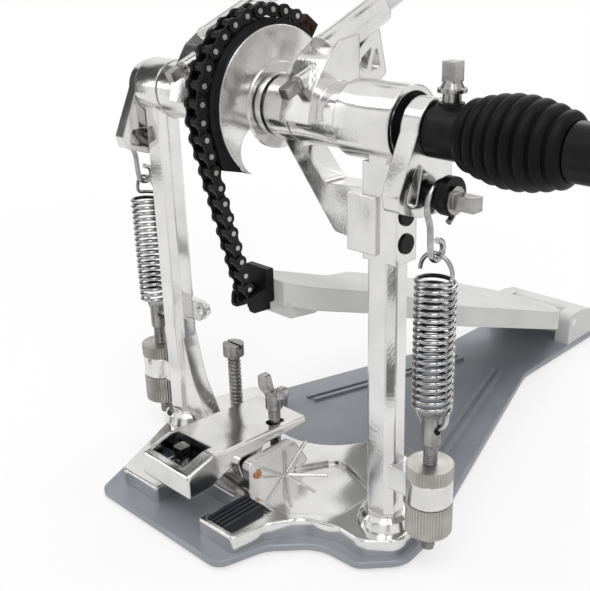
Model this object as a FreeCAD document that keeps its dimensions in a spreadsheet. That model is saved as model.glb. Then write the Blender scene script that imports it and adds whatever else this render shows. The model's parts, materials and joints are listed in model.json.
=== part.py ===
import FreeCAD, Part
import math
import os
import re

from FreeCAD import Placement, Rotation, Vector

# Driving sizes in millimetres and degrees.
# +X runs along the axle to the coupling, +Y from the drum to the heel, +Z up.
# The origin is on the floor below the axle.
SIZES = {
    # Axle, shafts and bearings
    "axle_height": 209.5,
    "shaft_radius": 7.0,
    "bearing_radius": 11.0,
    "bearing_width": 8.0,
    "running_clearance": 0.05,
    "moving_gap": 0.5,
    # Base
    "pad_thickness": 1.5,
    "plate_thickness": 3.5,
    "plate_front": 77.0,
    "plate_left": -66.0,
    "plate_right": 31.0,
    "plate_back": 312.0,
    "tail_width": 69.0,
    "tail_start": 196.0,
    "plate_shoulder": 96.5,
    "centre_x": -3.0,
    "plate_margin": 5.0,
    "ridge_height": 1.6,
    "ridge_width": 2.6,
    "ridge_pitch": 6.0,
    # Toe casting
    "casting_thickness": 9.0,
    "lobe_left": -62.0,
    "lobe_right": -31.5,
    "ledge_left": 5.5,
    "ledge_right": 31.0,
    "ledge_front": -67.0,
    "notch_back": -42.0,
    "rim_width": 3.0,
    "arch_radius": 41.0,
    "arch_y": 60.0,
    "rib_width": 1.0,
    "rib_rise": 0.7,
    "tray_depth": 2.5,
    # Posts
    "post_x": 75.5,
    "left_post_x": -80.5,
    "post_y": -5.0,
    "post_width": 17.0,
    "post_depth": 14.0,
    "post_chamfer": 3.5,
    "post_head": 1.8,
    "ear_hole_radius": 2.6,
    "foot_radius": 12.5,
    "foot_height": 7.0,
    "left_housing_radius": 15.0,
    "left_housing_start": -89.5,
    "left_housing_end": -71.5,
    "right_housing_radius": 17.0,
    "right_housing_start": 54.5,
    "right_housing_end": 84.5,
    "seal_radius": 14.5,
    "seal_width": 0.8,
    # Bearing bracket
    "centre_ring_start": 9.0,
    "centre_ring_end": 23.0,
    "centre_ring_radius": 14.5,
    "brace_depth": 14.0,
    "brace_back": 11.0,
    "bracket_lip": 1.6,
    "bracket_pad": 7.6,
    "brace_reach": 14.0,
    "brace_kick": 5.0,
    "brace_rise": 8.0,
    "brace_shelf": 31.0,
    "bracket_bolt_radius": 2.5,
    "bracket_bolt_head": 4.4,
    # Spring gear
    "rod_x": 102.0,
    "rod_y": -4.6,
    "rod_radius": 3.0,
    "arm_radius": 11.0,
    "arm_width": 12.0,
    "nut_radius": 11.2,
    "lock_nut_height": 7.0,
    "deep_nut_height": 16.0,
    "nut_teeth": 44,
    "rod_head_radius": 4.4,
    "spring_wire": 1.0,
    "spring_radius": 8.5,
    "spring_turns": 19,
    "hook_bend": 2.5,
    "hook_wire": 1.4,
    "hook_eye_radius": 10.0,
    "hook_loop_radius": 4.2,
    # Rockers
    "right_rocker_start": 88.0,
    "right_rocker_end": 97.0,
    "left_rocker_start": -97.0,
    "left_rocker_end": -90.0,
    "rocker_hub_radius": 13.0,
    "rocker_recess": 4.5,
    "rocker_bolt_y": -2.0,
    "rocker_bolt_drop": 27.0,
    "rocker_bolt_radius": 3.0,
    "disc_radius": 8.3,
    "spool_radius": 5.5,
    "disc_width": 4.0,
    "disc_gap": 7.0,
    "washer_radius": 6.0,
    "washer_width": 1.4,
    "key_square": 6.2,
    "key_length": 8.0,
    "key_flange": 6.0,
    "bolt_end": 10.4,
    # Beater hubs, rods and heads
    "hub_radius": 14.5,
    "left_hub_start": -71.0,
    "left_hub_end": -36.0,
    "left_tube_x": -45.5,
    "right_hub_start": 24.0,
    "right_hub_end": 53.5,
    "right_tube_x": 33.5,
    "block_width": 18.0,
    "beater_rise": 23.0,
    "beater_offset": 24.0,
    "tube_radius": 7.0,
    "tube_start": 14.0,
    "tube_reach": 51.0,
    "block_front": 19.6,
    "block_back": 14.0,
    "block_top": 33.0,
    "hub_screw_off": 19.5,
    "hub_screw_seat": 9.0,
    "web_thickness": 5.0,
    "beater_radius": 4.0,
    "beater_foot": 15.0,
    "beater_reach": 172.0,
    "head_radius": 22.0,
    "head_length": 44.0,
    "head_place": 160.0,
    # Cam and chain
    "cam_disc_radius": 36.3,
    "cam_disc_width": 3.5,
    "cam_rim_radius": 39.0,
    "cam_rim_inner": 31.0,
    "cam_rim_width": 11.0,
    "cam_end": 239.0,
    "cam_bite": 12.2,
    "cam_bite_y": -13.0,
    "cam_bite_z": -19.0,
    "rim_heel": 16.5,
    "rim_heel_radius": 34.9,
    "cam_hub_radius": 15.0,
    "cam_collar_radius": 20.0,
    "chain_pitch": 8.0,
    "chain_radius": 42.5,
    "chain_lean": 14.9,
    "chain_plate_radius": 3.25,
    "chain_plate": 0.9,
    "chain_inner_half": 2.6,
    "chain_pin_radius": 1.25,
    "chain_roller_radius": 2.5,
    "chain_play": 0.1,
    "wrap_links": 8,
    "anchor_length": 9.0,
    "anchor_pin_proud": 0.6,
    "anchor_step": 1.1,
    "run_links": 11,
    # Footboard and heel
    "board_slope": 19.2,
    "board_thickness": 12.0,
    "toe_half_width": 21.0,
    "board_half_width": 44.0,
    "flare_start": 60.0,
    "flare_end": 104.0,
    "hinge_y": 262.0,
    "hinge_z": 21.0,
    "hinge_radius": 3.0,
    "barrel_radius": 6.5,
    "barrel_length": 44.0,
    "hinge_ear": 11.0,
    "heel_length": 44.0,
    "chain_gap": 3.4,
    "toe_clamp_width": 15.0,
    "toe_clamp_depth": 5.0,
    "toe_rise": 6.2,
    "toe_nose": 13.6,
    "toe_slope": 13.0,
    # Hoop clamp
    "clamp_x": -18.0,
    "jaw_width": 38.0,
    "jaw_front": -68.0,
    "jaw_back": 16.0,
    "jaw_low": 31.5,
    "jaw_high": 38.0,
    "jaw_nose_low": 22.0,
    "jaw_nose_height": 13.0,
    "jaw_lug_radius": 5.5,
    "jaw_lug_width": 7.0,
    "pocket_depth": 9.0,
    "jaw_pin_y": -28.0,
    "jaw_pin_z": 21.5,
    "jaw_pin_radius": 2.5,
    "jaw_wall": 5.0,
    "jaw_wall_top": 30.0,
    "jaw_wall_front": -34.0,
    "jaw_wall_back": -1.0,
    "jaw_side_gap": 1.5,
    "jaw_pad_thickness": 3.4,
    "wing_x": 7.0,
    "wing_y": -2.0,
    "wing_screw_radius": 3.0,
    "wing_neck": 9.0,
    "wing_top": 64.5,
    "spur_x": 10.0,
    "spur_y": 6.0,
    "spur_radius": 3.0,
    "spur_low": 1.0,
    "spur_high": 69.0,
    "spur_head_radius": 6.0,
    "spur_head": 7.0,
    # Coupling
    "collar_start": 97.4,
    "collar_end": 112.0,
    "collar_radius": 11.4,
    "joint_x": 136.0,
    "neck_radius": 10.0,
    "neck_length": 6.0,
    "prong_inner": 5.5,
    "prong_outer": 8.8,
    "prong_width": 8.0,
    "cross_radius": 2.5,
    "cross_block": 7.0,
    "socket_radius": 5.0,
    "socket_depth": 20.0,
    "boot_ribs": 8,
    "boot_wall": 1.6,
    "boot_swell": 4.6,
    "rib_depth": 2.2,
}

# Heights given as shares of the axle's height
LEVELS = {
    "ear_height": 0.42,
    "bracket_low": 0.7351,
    "bracket_high": 0.8592,
    "bracket_bolt_low": 0.7628,
    "bracket_bolt_high": 0.8229,
    "rod_low": 0.0501,
    "arm_low": 0.179,
    "arm_high": 0.2387,
    "rod_head_low": 0.3246,
    "rod_head_high": 0.3914,
    "spring_low": 0.4105,
    "spring_high": 0.7064,
}

# Places worked out in the sheet from other sizes
PLACES = {
    "spur_place": "clamp_x - jaw_width / 2 - spur_x",
    "wing_place": "clamp_x + jaw_width / 2 - wing_x",
}

doc = FreeCAD.newDocument("pedal")
sheet = doc.addObject("Spreadsheet::Sheet", "sizes")
cells = {alias: str(value) for alias, value in SIZES.items()}
cells.update({alias: "=%s * axle_height" % share for alias, share in LEVELS.items()})
cells.update({alias: "=" + formula for alias, formula in PLACES.items()})
for row, (alias, content) in enumerate(cells.items(), start=1):
    sheet.set("A%d" % row, alias)
    sheet.set("B%d" % row, content)
    sheet.setAlias("B%d" % row, alias)
doc.recompute()


class Sizes:
    """Reads a size from the sheet by its alias."""

    def __getattr__(self, alias):
        return float(sheet.get(alias))


S = Sizes()
nodes = []

# Places that follow from the driving sizes
plate_top = S.pad_thickness + S.plate_thickness
casting_top = plate_top + S.casting_thickness
axle = Vector(0, 0, S.axle_height)
rise = math.radians(S.beater_rise)
along_rod = Vector(0, math.cos(rise), math.sin(rise))
off_rod = Vector(0, -math.sin(rise), math.cos(rise))
rocker_bolt_z = S.axle_height - S.rocker_bolt_drop
link_angle = 2 * math.degrees(math.asin(S.chain_pitch / 2 / S.chain_radius))
leave_angle = 180 + S.chain_lean
board_slope = math.radians(S.board_slope)
collar_neck_end = S.collar_end + S.neck_length
far_neck_start = 2 * S.joint_x - collar_neck_end
far_collar_start = far_neck_start + S.neck_length

AXIS_TURN = {
    "x": Rotation(Vector(0, 1, 0), 90),
    "y": Rotation(Vector(1, 0, 0), -90),
    "z": Rotation(),
}


def qualified(expression):
    """The expression with each alias pointed at the sheet."""
    def swap(match):
        word = match.group(0)
        return "sizes." + word if word in cells else word
    return re.sub(r"[a-z_][a-z_0-9]*", swap, expression)


def bind(thing, prop, expression):
    thing.setExpression(prop, qualified(str(expression)))


def place(thing, at, axis="z"):
    """Puts a piece at bound coordinates with its own Z along an axis."""
    thing.Placement = Placement(Vector(), AXIS_TURN[axis])
    for letter, expression in zip("xyz", at):
        bind(thing, "Placement.Base." + letter, expression)
    return thing


def slant(thing, at, heading):
    """Puts a piece's base at a point with its own Z along a heading."""
    thing.Placement = Placement(at, Rotation(Vector(0, 0, 1), heading))
    return thing


def node(thing):
    """Marks a document object as one finished sub-part."""
    nodes.append(thing)
    return thing


def cylinder(label, radius, height, at=(), axis="z"):
    thing = doc.addObject("Part::Cylinder", label)
    bind(thing, "Radius", radius)
    bind(thing, "Height", height)
    return place(thing, at, axis)


def box(label, size, at=()):
    thing = doc.addObject("Part::Box", label)
    for prop, expression in zip(("Length", "Width", "Height"), size):
        bind(thing, prop, expression)
    return place(thing, at)


def fuse(label, *pieces):
    thing = doc.addObject("Part::MultiFuse", label)
    thing.Shapes = list(pieces)
    thing.Refine = True
    return thing


def group(label, *pieces):
    thing = doc.addObject("Part::Compound", label)
    thing.Links = list(pieces)
    return thing


def cut(label, base, *tools):
    thing = doc.addObject("Part::Cut", label)
    thing.Base = base
    thing.Tool = tools[0] if len(tools) == 1 else fuse(label + "_tools", *tools)
    thing.Refine = True
    return thing


def feature(label, shape):
    thing = doc.addObject("Part::Feature", label)
    thing.Shape = shape
    return thing


def origin_plane(body, role):
    return next(f for f in body.Origin.OriginFeatures if f.Role == role)


def rounded(points):
    """Line and arc edges of a closed outline of (x, y, corner radius)."""
    corners = []
    for i, (x, y, radius) in enumerate(points):
        here = Vector(x, y)
        back = Vector(*points[i - 1][:2]) - here
        ahead = Vector(*points[(i + 1) % len(points)][:2]) - here
        if radius == 0:
            corners.append((here, None, here))
            continue
        half = back.getAngle(ahead) / 2
        reach = radius / math.tan(half)
        back.normalize()
        ahead.normalize()
        middle = back + ahead
        middle.normalize()
        apex = here + middle * (radius / math.sin(half) - radius)
        corners.append((here + back * reach, apex, here + ahead * reach))
    edges = []
    for i, (start, apex, end) in enumerate(corners):
        if apex is not None:
            edges.append(Part.Arc(start, apex, end))
        following = corners[(i + 1) % len(corners)][0]
        if end.distanceToPoint(following) > 1e-6:
            edges.append(Part.LineSegment(end, following))
    return edges


def sketch_on(body, role, edges, offset):
    sketch = body.newObject("Sketcher::SketchObject", body.Label + "_sketch")
    sketch.AttachmentSupport = [(origin_plane(body, role), "")]
    sketch.MapMode = "FlatFace"
    sketch.addGeometry(edges, False)
    bind(sketch, "AttachmentOffset.Base.z", offset)
    return sketch


def prism(label, role, points, offset, length):
    """A padded outline: XY_Plane pads up, YZ_Plane pads to +X, XZ_Plane pads to -Y."""
    body = doc.addObject("PartDesign::Body", label)
    pad = body.newObject("PartDesign::Pad", label + "_pad")
    pad.Profile = sketch_on(body, role, rounded(points), offset)
    bind(pad, "Length", length)
    return body


def turned(label, profile, at, axis):
    """A revolved outline of (radius, distance along the axis)."""
    body = doc.addObject("PartDesign::Body", label)
    edges = rounded([(radius, along, 0) for radius, along in profile])
    sketch = sketch_on(body, "XZ_Plane", edges, "0")
    turn = body.newObject("PartDesign::Revolution", label + "_turn")
    turn.Profile = sketch
    turn.ReferenceAxis = (sketch, ["V_Axis"])
    turn.Angle = 360
    return place(body, at, axis)


def ease(body, radius, faces):
    """Rounds every edge of the faces that the test picks, on the body's last feature."""
    doc.recompute()
    tip = body.Tip
    names = ["Face%d" % (i + 1) for i, face in enumerate(tip.Shape.Faces) if faces(face)]
    fillet = body.newObject("PartDesign::Fillet", body.Label + "_ease")
    fillet.Base = (tip, names)
    fillet.Radius = radius
    return body


def faces_up(height):
    def test(face):
        return abs(face.BoundBox.ZMin - height) < 1e-4 and abs(face.BoundBox.ZMax - height) < 1e-4
    return test


def place_on_rod(along, off, x):
    """A point given along the beater rod and square to it, about the axle."""
    return axle + along_rod * along + off_rod * off + Vector(x, 0, 0)


def about_axle(along, off):
    point = place_on_rod(along, off, 0)
    return (point.y, point.z)


def key_screw(label, at, rotation, neck):
    """A flanged screw with a square end for a drum key, pointing along its local Z."""
    shank = cylinder(label + "_neck", "key_square * 0.62", neck + 1)
    flange = cylinder(label + "_flange", "key_flange", "1.6", ("0", "0", neck))
    cone = doc.addObject("Part::Cone", label + "_cone")
    bind(cone, "Radius1", "key_flange * 0.85")
    bind(cone, "Radius2", "key_square * 0.55")
    bind(cone, "Height", "key_length * 0.4")
    place(cone, ("0", "0", neck + 1.5))
    square = box(label + "_square", ("key_square", "key_square", "key_length"),
                 ("-key_square / 2", "-key_square / 2", neck + 4))
    screw = fuse(label, shank, flange, cone, square)
    screw.Placement = Placement(at, rotation)
    return screw


# Base plate, underside pad and toe casting

def plate_points(margin, front):
    """Outline of the plate, drawn in by a margin."""
    shoulder = S.plate_shoulder - margin
    tail = S.tail_width / 2 - margin
    return [
        (S.plate_left + margin, front, 8),
        (S.plate_right - margin, front, 8),
        (S.ledge_right + 7 - margin, front + 25, 16),
        (S.post_x - 19, S.post_y - 28 + margin, 22),
        (S.post_x + 5, S.post_y - 27 + margin, 9),
        (shoulder, S.post_y - 10, 14),
        (shoulder - 2, S.post_y + 9, 8),
        (S.centre_x + tail, S.tail_start, 40),
        (S.centre_x + tail, S.plate_back - margin, 6),
        (S.centre_x - tail, S.plate_back - margin, 6),
        (S.centre_x - tail, S.tail_start, 40),
        (-shoulder, S.post_y + 9, 8),
        (-shoulder + 2, S.post_y - 7, 10),
    ]


def spur_hole(name):
    """Hole for the floor spur through one layer of the base."""
    at = ("spur_place", "spur_y", "-1")
    return cylinder(name + "_spur_hole", "spur_radius + running_clearance", "spur_high", at)


def base_plate():
    plate = prism(
        "plate_blank", "XY_Plane", plate_points(0, -S.plate_front), "pad_thickness",
        "plate_thickness",
    )
    ease(plate, min(1.0, S.plate_thickness / 3), faces_up(plate_top))
    ridges = []
    taper = math.degrees(math.atan2(S.plate_shoulder - S.tail_width / 2, S.tail_start - S.post_y))
    for side in (-1, 1):
        for row in (0, 1):
            name = "ridge_%s_%d" % ("left" if side < 0 else "right", row)
            ridge = box(name, ("ridge_width", "tail_start - 76", "ridge_height + 0.5"))
            inset = S.plate_shoulder - 42 - row * S.ridge_pitch
            start = Vector(side * inset - S.ridge_width / 2, 72, plate_top - 0.5)
            ridge.Placement = Placement(start, Rotation(Vector(0, 0, 1), side * taper))
            ridges.append(ridge)
    whole = fuse("plate_whole", plate, *ridges)
    return node(cut("base_plate", whole, spur_hole("plate")))


def floor_pad():
    points = plate_points(S.plate_margin, S.plate_margin - S.plate_front)
    blank = prism("pad_blank", "XY_Plane", points, "0", "pad_thickness")
    return node(cut("floor_pad", blank, spur_hole("pad")))


def ledge_edge(margin):
    """Curve of the casting's front from the ledge to the right foot, drawn in by a margin."""
    return [
        (S.ledge_right - margin, S.ledge_front + margin, 3),
        (S.ledge_right + 4 - margin, S.ledge_front + 19, 12),
        (S.ledge_right + 14 - margin, S.post_y - 27.5 + margin, 14),
        (S.ledge_right + 31 - margin, S.post_y - 21 + margin, 12),
    ]


def casting_points():
    reach = S.plate_shoulder - S.plate_margin
    back = S.arch_y - 2
    return [
        (S.lobe_left, S.ledge_front + 2, 5),
        (S.lobe_right, S.ledge_front + 2, 1.5),
        (S.lobe_right, S.notch_back, 2),
        (S.ledge_left, S.notch_back, 2),
        (S.ledge_left, S.ledge_front, 1.5),
    ] + ledge_edge(0) + [
        (S.post_x + 3, S.post_y - 22, 9),
        (reach + 1, S.post_y - 9, 10),
        (reach - 1, S.post_y + 10, 8),
        (S.post_x, back - 8, 6),
        (S.clamp_x + S.arch_radius + 5, back, 4),
        (S.clamp_x - S.arch_radius - 2, back, 4),
        (S.left_post_x, back - 10, 6),
        (-reach - 2, S.post_y + 9, 8),
        (-reach + 4, S.post_y - 7, 8),
    ]


def wall_face():
    """X of the right jaw wall's outer face."""
    return S.clamp_x + S.jaw_width / 2 + S.jaw_side_gap + S.jaw_wall


def trays():
    """Sunk fields inside the rim: one for the rubber pad on the ledge, one beside the jaw wall."""
    rim = S.rim_width
    bottom = casting_top - S.tray_depth
    bar = S.jaw_wall_front - 1
    pad_field = [
        (S.ledge_left + rim, S.ledge_front + rim, 1),
        (S.ledge_right - rim, S.ledge_front + rim, 1),
        (S.ledge_right + 2 - rim, bar - rim, 1),
        (S.ledge_left + rim, bar - rim, 1),
    ]
    right = S.post_x - S.foot_radius - 2 * rim
    rib_field = [
        (wall_face(), bar, 1),
        (S.ledge_right + 4, bar, 3),
        (S.ledge_right + 13, bar + 7, 10),
        (right, S.post_y - 13, 6),
        (right, S.post_y + 14, 6),
        (wall_face() + 14, S.post_y + 26, 10),
        (wall_face(), S.jaw_wall_back, 2),
    ]
    fields = []
    for name, outline in (("pad", pad_field), ("rib", rib_field)):
        fields.append(prism(name + "_field", "XY_Plane", outline, bottom, "tray_depth + 1"))
    return fields


def corner_ribs():
    """Thin ribs that spread from the foot of the right jaw wall, over its face and the tray."""
    face = wall_face()
    low = casting_top - S.tray_depth
    middle = (S.jaw_wall_front + S.jaw_wall_back) / 2 + 9
    thick = "rib_width"
    upright = box("rib_upright", ("rib_rise + 1", thick, "jaw_wall_top - %f" % (low - 0.5)),
                  (face - 1, middle - S.rib_width / 2, low - 0.5))
    along = box("rib_along", ("24", thick, "rib_rise + 0.5"),
                (face - 1, middle - S.rib_width / 2, low - 0.5))
    ribs = [upright, along]
    for name, turn, reach in (("front", -38, 30), ("back", 40, 24)):
        rib = box("rib_" + name, (reach, S.rib_width, S.rib_rise + 0.5))
        turned_to = Rotation(Vector(0, 0, 1), turn)
        rib.Placement = Placement(Vector(face - 0.8, middle, low - 0.5), turned_to)
        ribs.append(rib)
    for name, turn in (("low", 38), ("high", 142)):
        rib = box("rib_wall_" + name, (S.rib_rise + 1, 22, S.rib_width))
        tilt = Rotation(Vector(1, 0, 0), turn)
        rib.Placement = Placement(Vector(face - 1, middle, low), tilt)
        ribs.append(rib)
    return ribs


def toe_casting():
    blank = prism(
        "casting_blank", "XY_Plane", casting_points(), "pad_thickness + plate_thickness",
        "casting_thickness",
    )
    ease(blank, 1.2, faces_up(casting_top))
    arch = cylinder(
        "casting_arch", "arch_radius", "casting_thickness + 2", ("clamp_x", "arch_y", plate_top - 1),
    )
    body = cut("casting_body", blank, arch, *trays())
    walls = []
    reach = S.jaw_width / 2 + S.jaw_side_gap
    for side in (-1, 1):
        start = S.clamp_x + (reach if side > 0 else -reach - S.jaw_wall)
        name = "jaw_wall_%s" % ("left" if side < 0 else "right")
        lug = [
            (S.jaw_wall_front, plate_top + 1, 0),
            (S.jaw_wall_back + 10, plate_top + 1, 0),
            (S.jaw_wall_back + 10, casting_top, 2),
            (S.jaw_wall_back, S.jaw_wall_top, 4),
            (S.jaw_wall_front, S.jaw_wall_top, 4),
        ]
        walls.append(prism(name, "YZ_Plane", lug, start, "jaw_wall"))
    ribs = cut("wall_ribs", fuse("rib_star", *corner_ribs()), rib_trim())
    boss = cylinder("spur_boss", "spur_radius + 2.4", "6", ("spur_place", "spur_y", casting_top - 1))
    whole = fuse("casting_whole", body, boss, ribs, *walls)
    pin_hole = cylinder(
        "jaw_pin_hole", "jaw_pin_radius", "2 * jaw_width",
        ("clamp_x - jaw_width", "jaw_pin_y", "jaw_pin_z"), "x",
    )
    return node(cut("toe_casting", whole, spur_hole("casting"), pin_hole))


def rib_trim():
    """Space above and behind the right jaw wall, which the ribs keep out of."""
    return box("rib_trim", ("60", "120", "30"),
               (wall_face() - 3, "jaw_wall_front - 40", "jaw_wall_top - 2"))


# Posts, arms and bearings

def post_section(x):
    half_w = S.post_width / 2
    half_d = S.post_depth / 2
    c = S.post_chamfer
    corners = [
        (half_w - c, -half_d), (half_w, c - half_d), (half_w, half_d - c), (half_w - c, half_d),
        (c - half_w, half_d), (-half_w, half_d - c), (-half_w, c - half_d), (c - half_w, -half_d),
    ]
    return [(x + dx, S.post_y + dy, 0.8) for dx, dy in corners]


def spring_arm(name, side):
    """Arm and ring that hold the tension rod beside the post."""
    ring = cylinder(
        name + "_ring", "arm_radius", "arm_high - arm_low",
        ("%d * rod_x" % side, "rod_y", "arm_low"),
    )
    length = "rod_x - post_x" if side > 0 else "rod_x + left_post_x"
    start = "post_x" if side > 0 else "-rod_x"
    bar = box(
        name + "_bar", (length, "arm_width", "arm_high - arm_low"),
        (start, "rod_y - arm_width / 2", "arm_low"),
    )
    return [ring, bar]


def post(name, side, housing, extras, cuts):
    centre = S.post_x if side > 0 else S.left_post_x
    height = S.axle_height - casting_top
    shaft = prism(name + "_shaft", "XY_Plane", post_section(centre), casting_top, height)
    high = S.foot_height
    wide = S.foot_radius
    profile = [(0, 0), (wide + 1.5, 0), (wide, high - 2), (wide - 2, high), (0, high)]
    foot = turned(name + "_foot", profile, (centre, "post_y", casting_top), "z")
    barrel = cylinder(name + "_barrel", housing + "_radius", housing + "_end - " + housing + "_start",
                      (housing + "_start", "0", "axle_height"), "x")
    whole = fuse(name + "_whole", shaft, foot, barrel, *spring_arm(name + "_arm", side), *extras)
    bore = cylinder(name + "_bore", "bearing_radius", housing + "_end - " + housing + "_start + 4",
                    (housing + "_start - 2", "0", "axle_height"), "x")
    rod_hole = cylinder(
        name + "_rod_hole", "rod_radius", "arm_high",
        ("%d * rod_x" % side, "rod_y", "arm_low - 5"),
    )
    return node(cut(name, whole, bore, rod_hole, *cuts))


def left_post():
    inner = S.post_width / 2 + S.left_post_x
    flare = [
        (inner - 4, casting_top, 0),
        (inner + 24, casting_top, 0),
        (inner + 16, casting_top + 12, 12),
        (inner + 6, casting_top + 30, 40),
        (inner - 4, casting_top + 72, 0),
    ]
    foot = prism("left_post_flare", "XZ_Plane", flare, "-post_y - 5", "10")
    level = S.ear_height
    ear_points = [
        (inner - 4, level - 7, 0),
        (inner + 11, level - 6, 5.5),
        (inner + 17, level, 0),
        (inner + 17, level + 6, 5.5),
        (inner - 4, level + 6, 0),
    ]
    ear = prism("left_post_ear", "XZ_Plane", ear_points, "-post_y - 3", "3")
    hole = cylinder(
        "left_ear_hole", "ear_hole_radius", "20", (inner + 10.5, "post_y - 10", "ear_height"), "y",
    )
    return post("left_post", -1, "left_housing", [foot, ear], [hole])


def right_post():
    holes = []
    for level in ("low", "high"):
        at = ("post_x - post_width", "post_y", "bracket_bolt_" + level)
        holes.append(
            cylinder("right_bolt_hole_" + level, "bracket_bolt_radius", "2 * post_width", at, "x"),
        )
        head = ("post_x + post_width / 2 + post_head - 3", "post_y", "bracket_bolt_" + level)
        holes.append(cylinder("right_bolt_seat_" + level, "bracket_bolt_head", "6", head, "x"))
    seat = cylinder(
        "right_seal_seat", "seal_radius", "seal_width + 1",
        ("right_housing_end - seal_width", "0", "axle_height"), "x",
    )
    low = S.bracket_low - 3
    high = S.axle_height - S.right_housing_radius + 2
    head = box("right_post_head", ("post_width + post_head", "post_depth", high - low),
               ("post_x - post_width / 2", "post_y - post_depth / 2", low))
    return post("right_post", 1, "right_housing", [head], holes + [seat])


def bearing_bracket():
    face = S.post_x - S.post_width / 2
    under = S.axle_height - S.hub_radius - 2
    brace = [
        (S.centre_ring_start + 1, S.axle_height - 5, 0),
        (S.centre_ring_start + 1, under + 2, 3),
        (S.centre_ring_end + S.brace_reach, S.bracket_low + S.brace_rise, 6),
        (S.centre_ring_end + S.brace_reach + S.brace_kick, S.bracket_low + 2, 4),
        (face, S.bracket_low, 0),
        (face, S.bracket_high, 0),
        (face - S.brace_shelf, S.bracket_high - 2, 4),
        (S.centre_ring_end, under, 0),
        (S.centre_ring_end, S.axle_height - 5, 0),
    ]
    body = prism("bracket_brace", "XZ_Plane", brace, "-brace_back", "brace_depth")
    ring = cylinder("bracket_ring", "centre_ring_radius", "centre_ring_end - centre_ring_start",
                    ("centre_ring_start", "0", "axle_height"), "x")
    pad_front = S.post_y - S.post_depth / 2 - S.bracket_lip
    pad = box("bracket_pad", ("bracket_pad", S.brace_back - pad_front, "bracket_high - bracket_low"),
              (face - S.bracket_pad, pad_front, "bracket_low"))
    lip = box("bracket_lip_plate", ("post_width / 2 + 2", "bracket_lip", "bracket_high - bracket_low"),
              (face - 2, pad_front, "bracket_low"))
    whole = fuse("bracket_whole", body, ring, pad, lip)
    bore = cylinder("bracket_bore", "bearing_radius", "centre_ring_end - centre_ring_start + 4",
                    ("centre_ring_start - 2", "0", "axle_height"), "x")
    taps = []
    for level in ("low", "high"):
        at = (face - S.bracket_pad - 0.4, "post_y", "bracket_bolt_" + level)
        taps.append(cylinder("bracket_tap_" + level, "bracket_bolt_radius", "20", at, "x"))
    return node(cut("bearing_bracket", whole, bore, *taps))


def bracket_bolts():
    bolts = []
    face = S.post_x - S.post_width / 2
    head_x = S.post_x + S.post_width / 2 + S.post_head - 3
    for level in ("low", "high"):
        z = "bracket_bolt_" + level
        shank = cylinder(
            "bolt_shank_" + level, "bracket_bolt_radius", head_x - face + 8,
            (face - 8, "post_y", z), "x",
        )
        head = cylinder("bolt_head_" + level, "bracket_bolt_head", "4", (head_x, "post_y", z), "x")
        bolts.append(fuse("bracket_bolt_" + level, shank, head))
    return node(group("bracket_bolts", *bolts))


def bearings():
    rings = []
    starts = {
        "left": "(left_housing_start + left_housing_end - bearing_width) / 2",
        "centre": "centre_ring_start + 1",
        "right": "right_housing_start + 1",
        "right_outer": "right_housing_end - 2 - bearing_width",
    }
    for name, start in starts.items():
        at = (start, "0", "axle_height")
        outer = cylinder("bearing_outer_" + name, "bearing_radius", "bearing_width", at, "x")
        bore = cylinder(
            "bearing_bore_" + name, "shaft_radius + running_clearance", "bearing_width", at, "x",
        )
        rings.append(cut("bearing_" + name, outer, bore))
    return node(group("bearings", *rings))


def bearing_seal():
    at = ("right_housing_end - seal_width", "0", "axle_height")
    outer = cylinder("seal_outer", "seal_radius", "seal_width", at, "x")
    inner = cylinder("seal_inner", "shaft_radius + moving_gap", "seal_width", at, "x")
    return node(cut("bearing_seal", outer, inner))


# Springs and what holds them

def tension_rod(name, side):
    x = "%d * rod_x" % side
    rod = cylinder(name + "_thread", "rod_radius", "rod_head_low - rod_low", (x, "rod_y", "rod_low"))
    head = cylinder(
        name + "_head", "rod_head_radius", "rod_head_high - rod_head_low",
        (x, "rod_y", "rod_head_low"),
    )
    eye_z = "spring_low - hook_bend - spring_radius + 1"
    eye = cylinder(name + "_eye", "spring_wire + 1.7", "4 * rod_head_radius",
                   (x + " - 2 * rod_head_radius", "rod_y", eye_z), "x")
    return cut(name, fuse(name + "_whole", rod, head), eye)


def tension_rods():
    rods = [tension_rod("left_tension_rod", -1), tension_rod("right_tension_rod", 1)]
    return node(group("tension_rods", *rods))


def knurled(label, height, at):
    """A nut with a toothed rim and a bore that runs on the rod."""
    count = int(S.nut_teeth)
    points = []
    for i in range(2 * count):
        radius = S.nut_radius if i % 2 else S.nut_radius - 0.5
        angle = math.pi * i / count
        points.append((radius * math.cos(angle), radius * math.sin(angle), 0))
    blank = place(prism(label + "_blank", "XY_Plane", points, "0", height), at)
    bore = cylinder(label + "_bore", "rod_radius + running_clearance", height, at)
    return cut(label, blank, bore)


def lock_nuts():
    nuts = []
    for name, side in (("left", -1), ("right", 1)):
        nuts.append(
            knurled("lock_nut_" + name, "lock_nut_height", ("%d * rod_x" % side, "rod_y", "arm_high")),
        )
    return node(group("lock_nuts", *nuts))


def deep_nut(name, side):
    at = ("%d * rod_x" % side, "rod_y", "arm_low - moving_gap - deep_nut_height")
    return node(knurled(name, "deep_nut_height", at))


def biarc(p0, t0, p1, t1):
    """Two arcs from p0 along t0 to p1 along t1."""
    v = p1 - p0
    t = t0 + t1
    slack = 2 * (1 - t0.dot(t1))
    d = (math.sqrt(v.dot(t) ** 2 + slack * v.dot(v)) - v.dot(t)) / slack
    joint = (p0 + p1 + (t0 - t1) * d) / 2
    arcs = []
    for start, end, corner in ((p0, joint, p0 + t0 * d), (joint, p1, p1 - t1 * d)):
        chord = (start + end) / 2
        rise_to = corner - chord
        half = start.distanceToPoint(end) / 2
        apex = chord + rise_to * (half / rise_to.Length * math.tan(math.atan2(rise_to.Length, half) / 2))
        arcs.append((start, apex, end))
    return arcs


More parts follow.
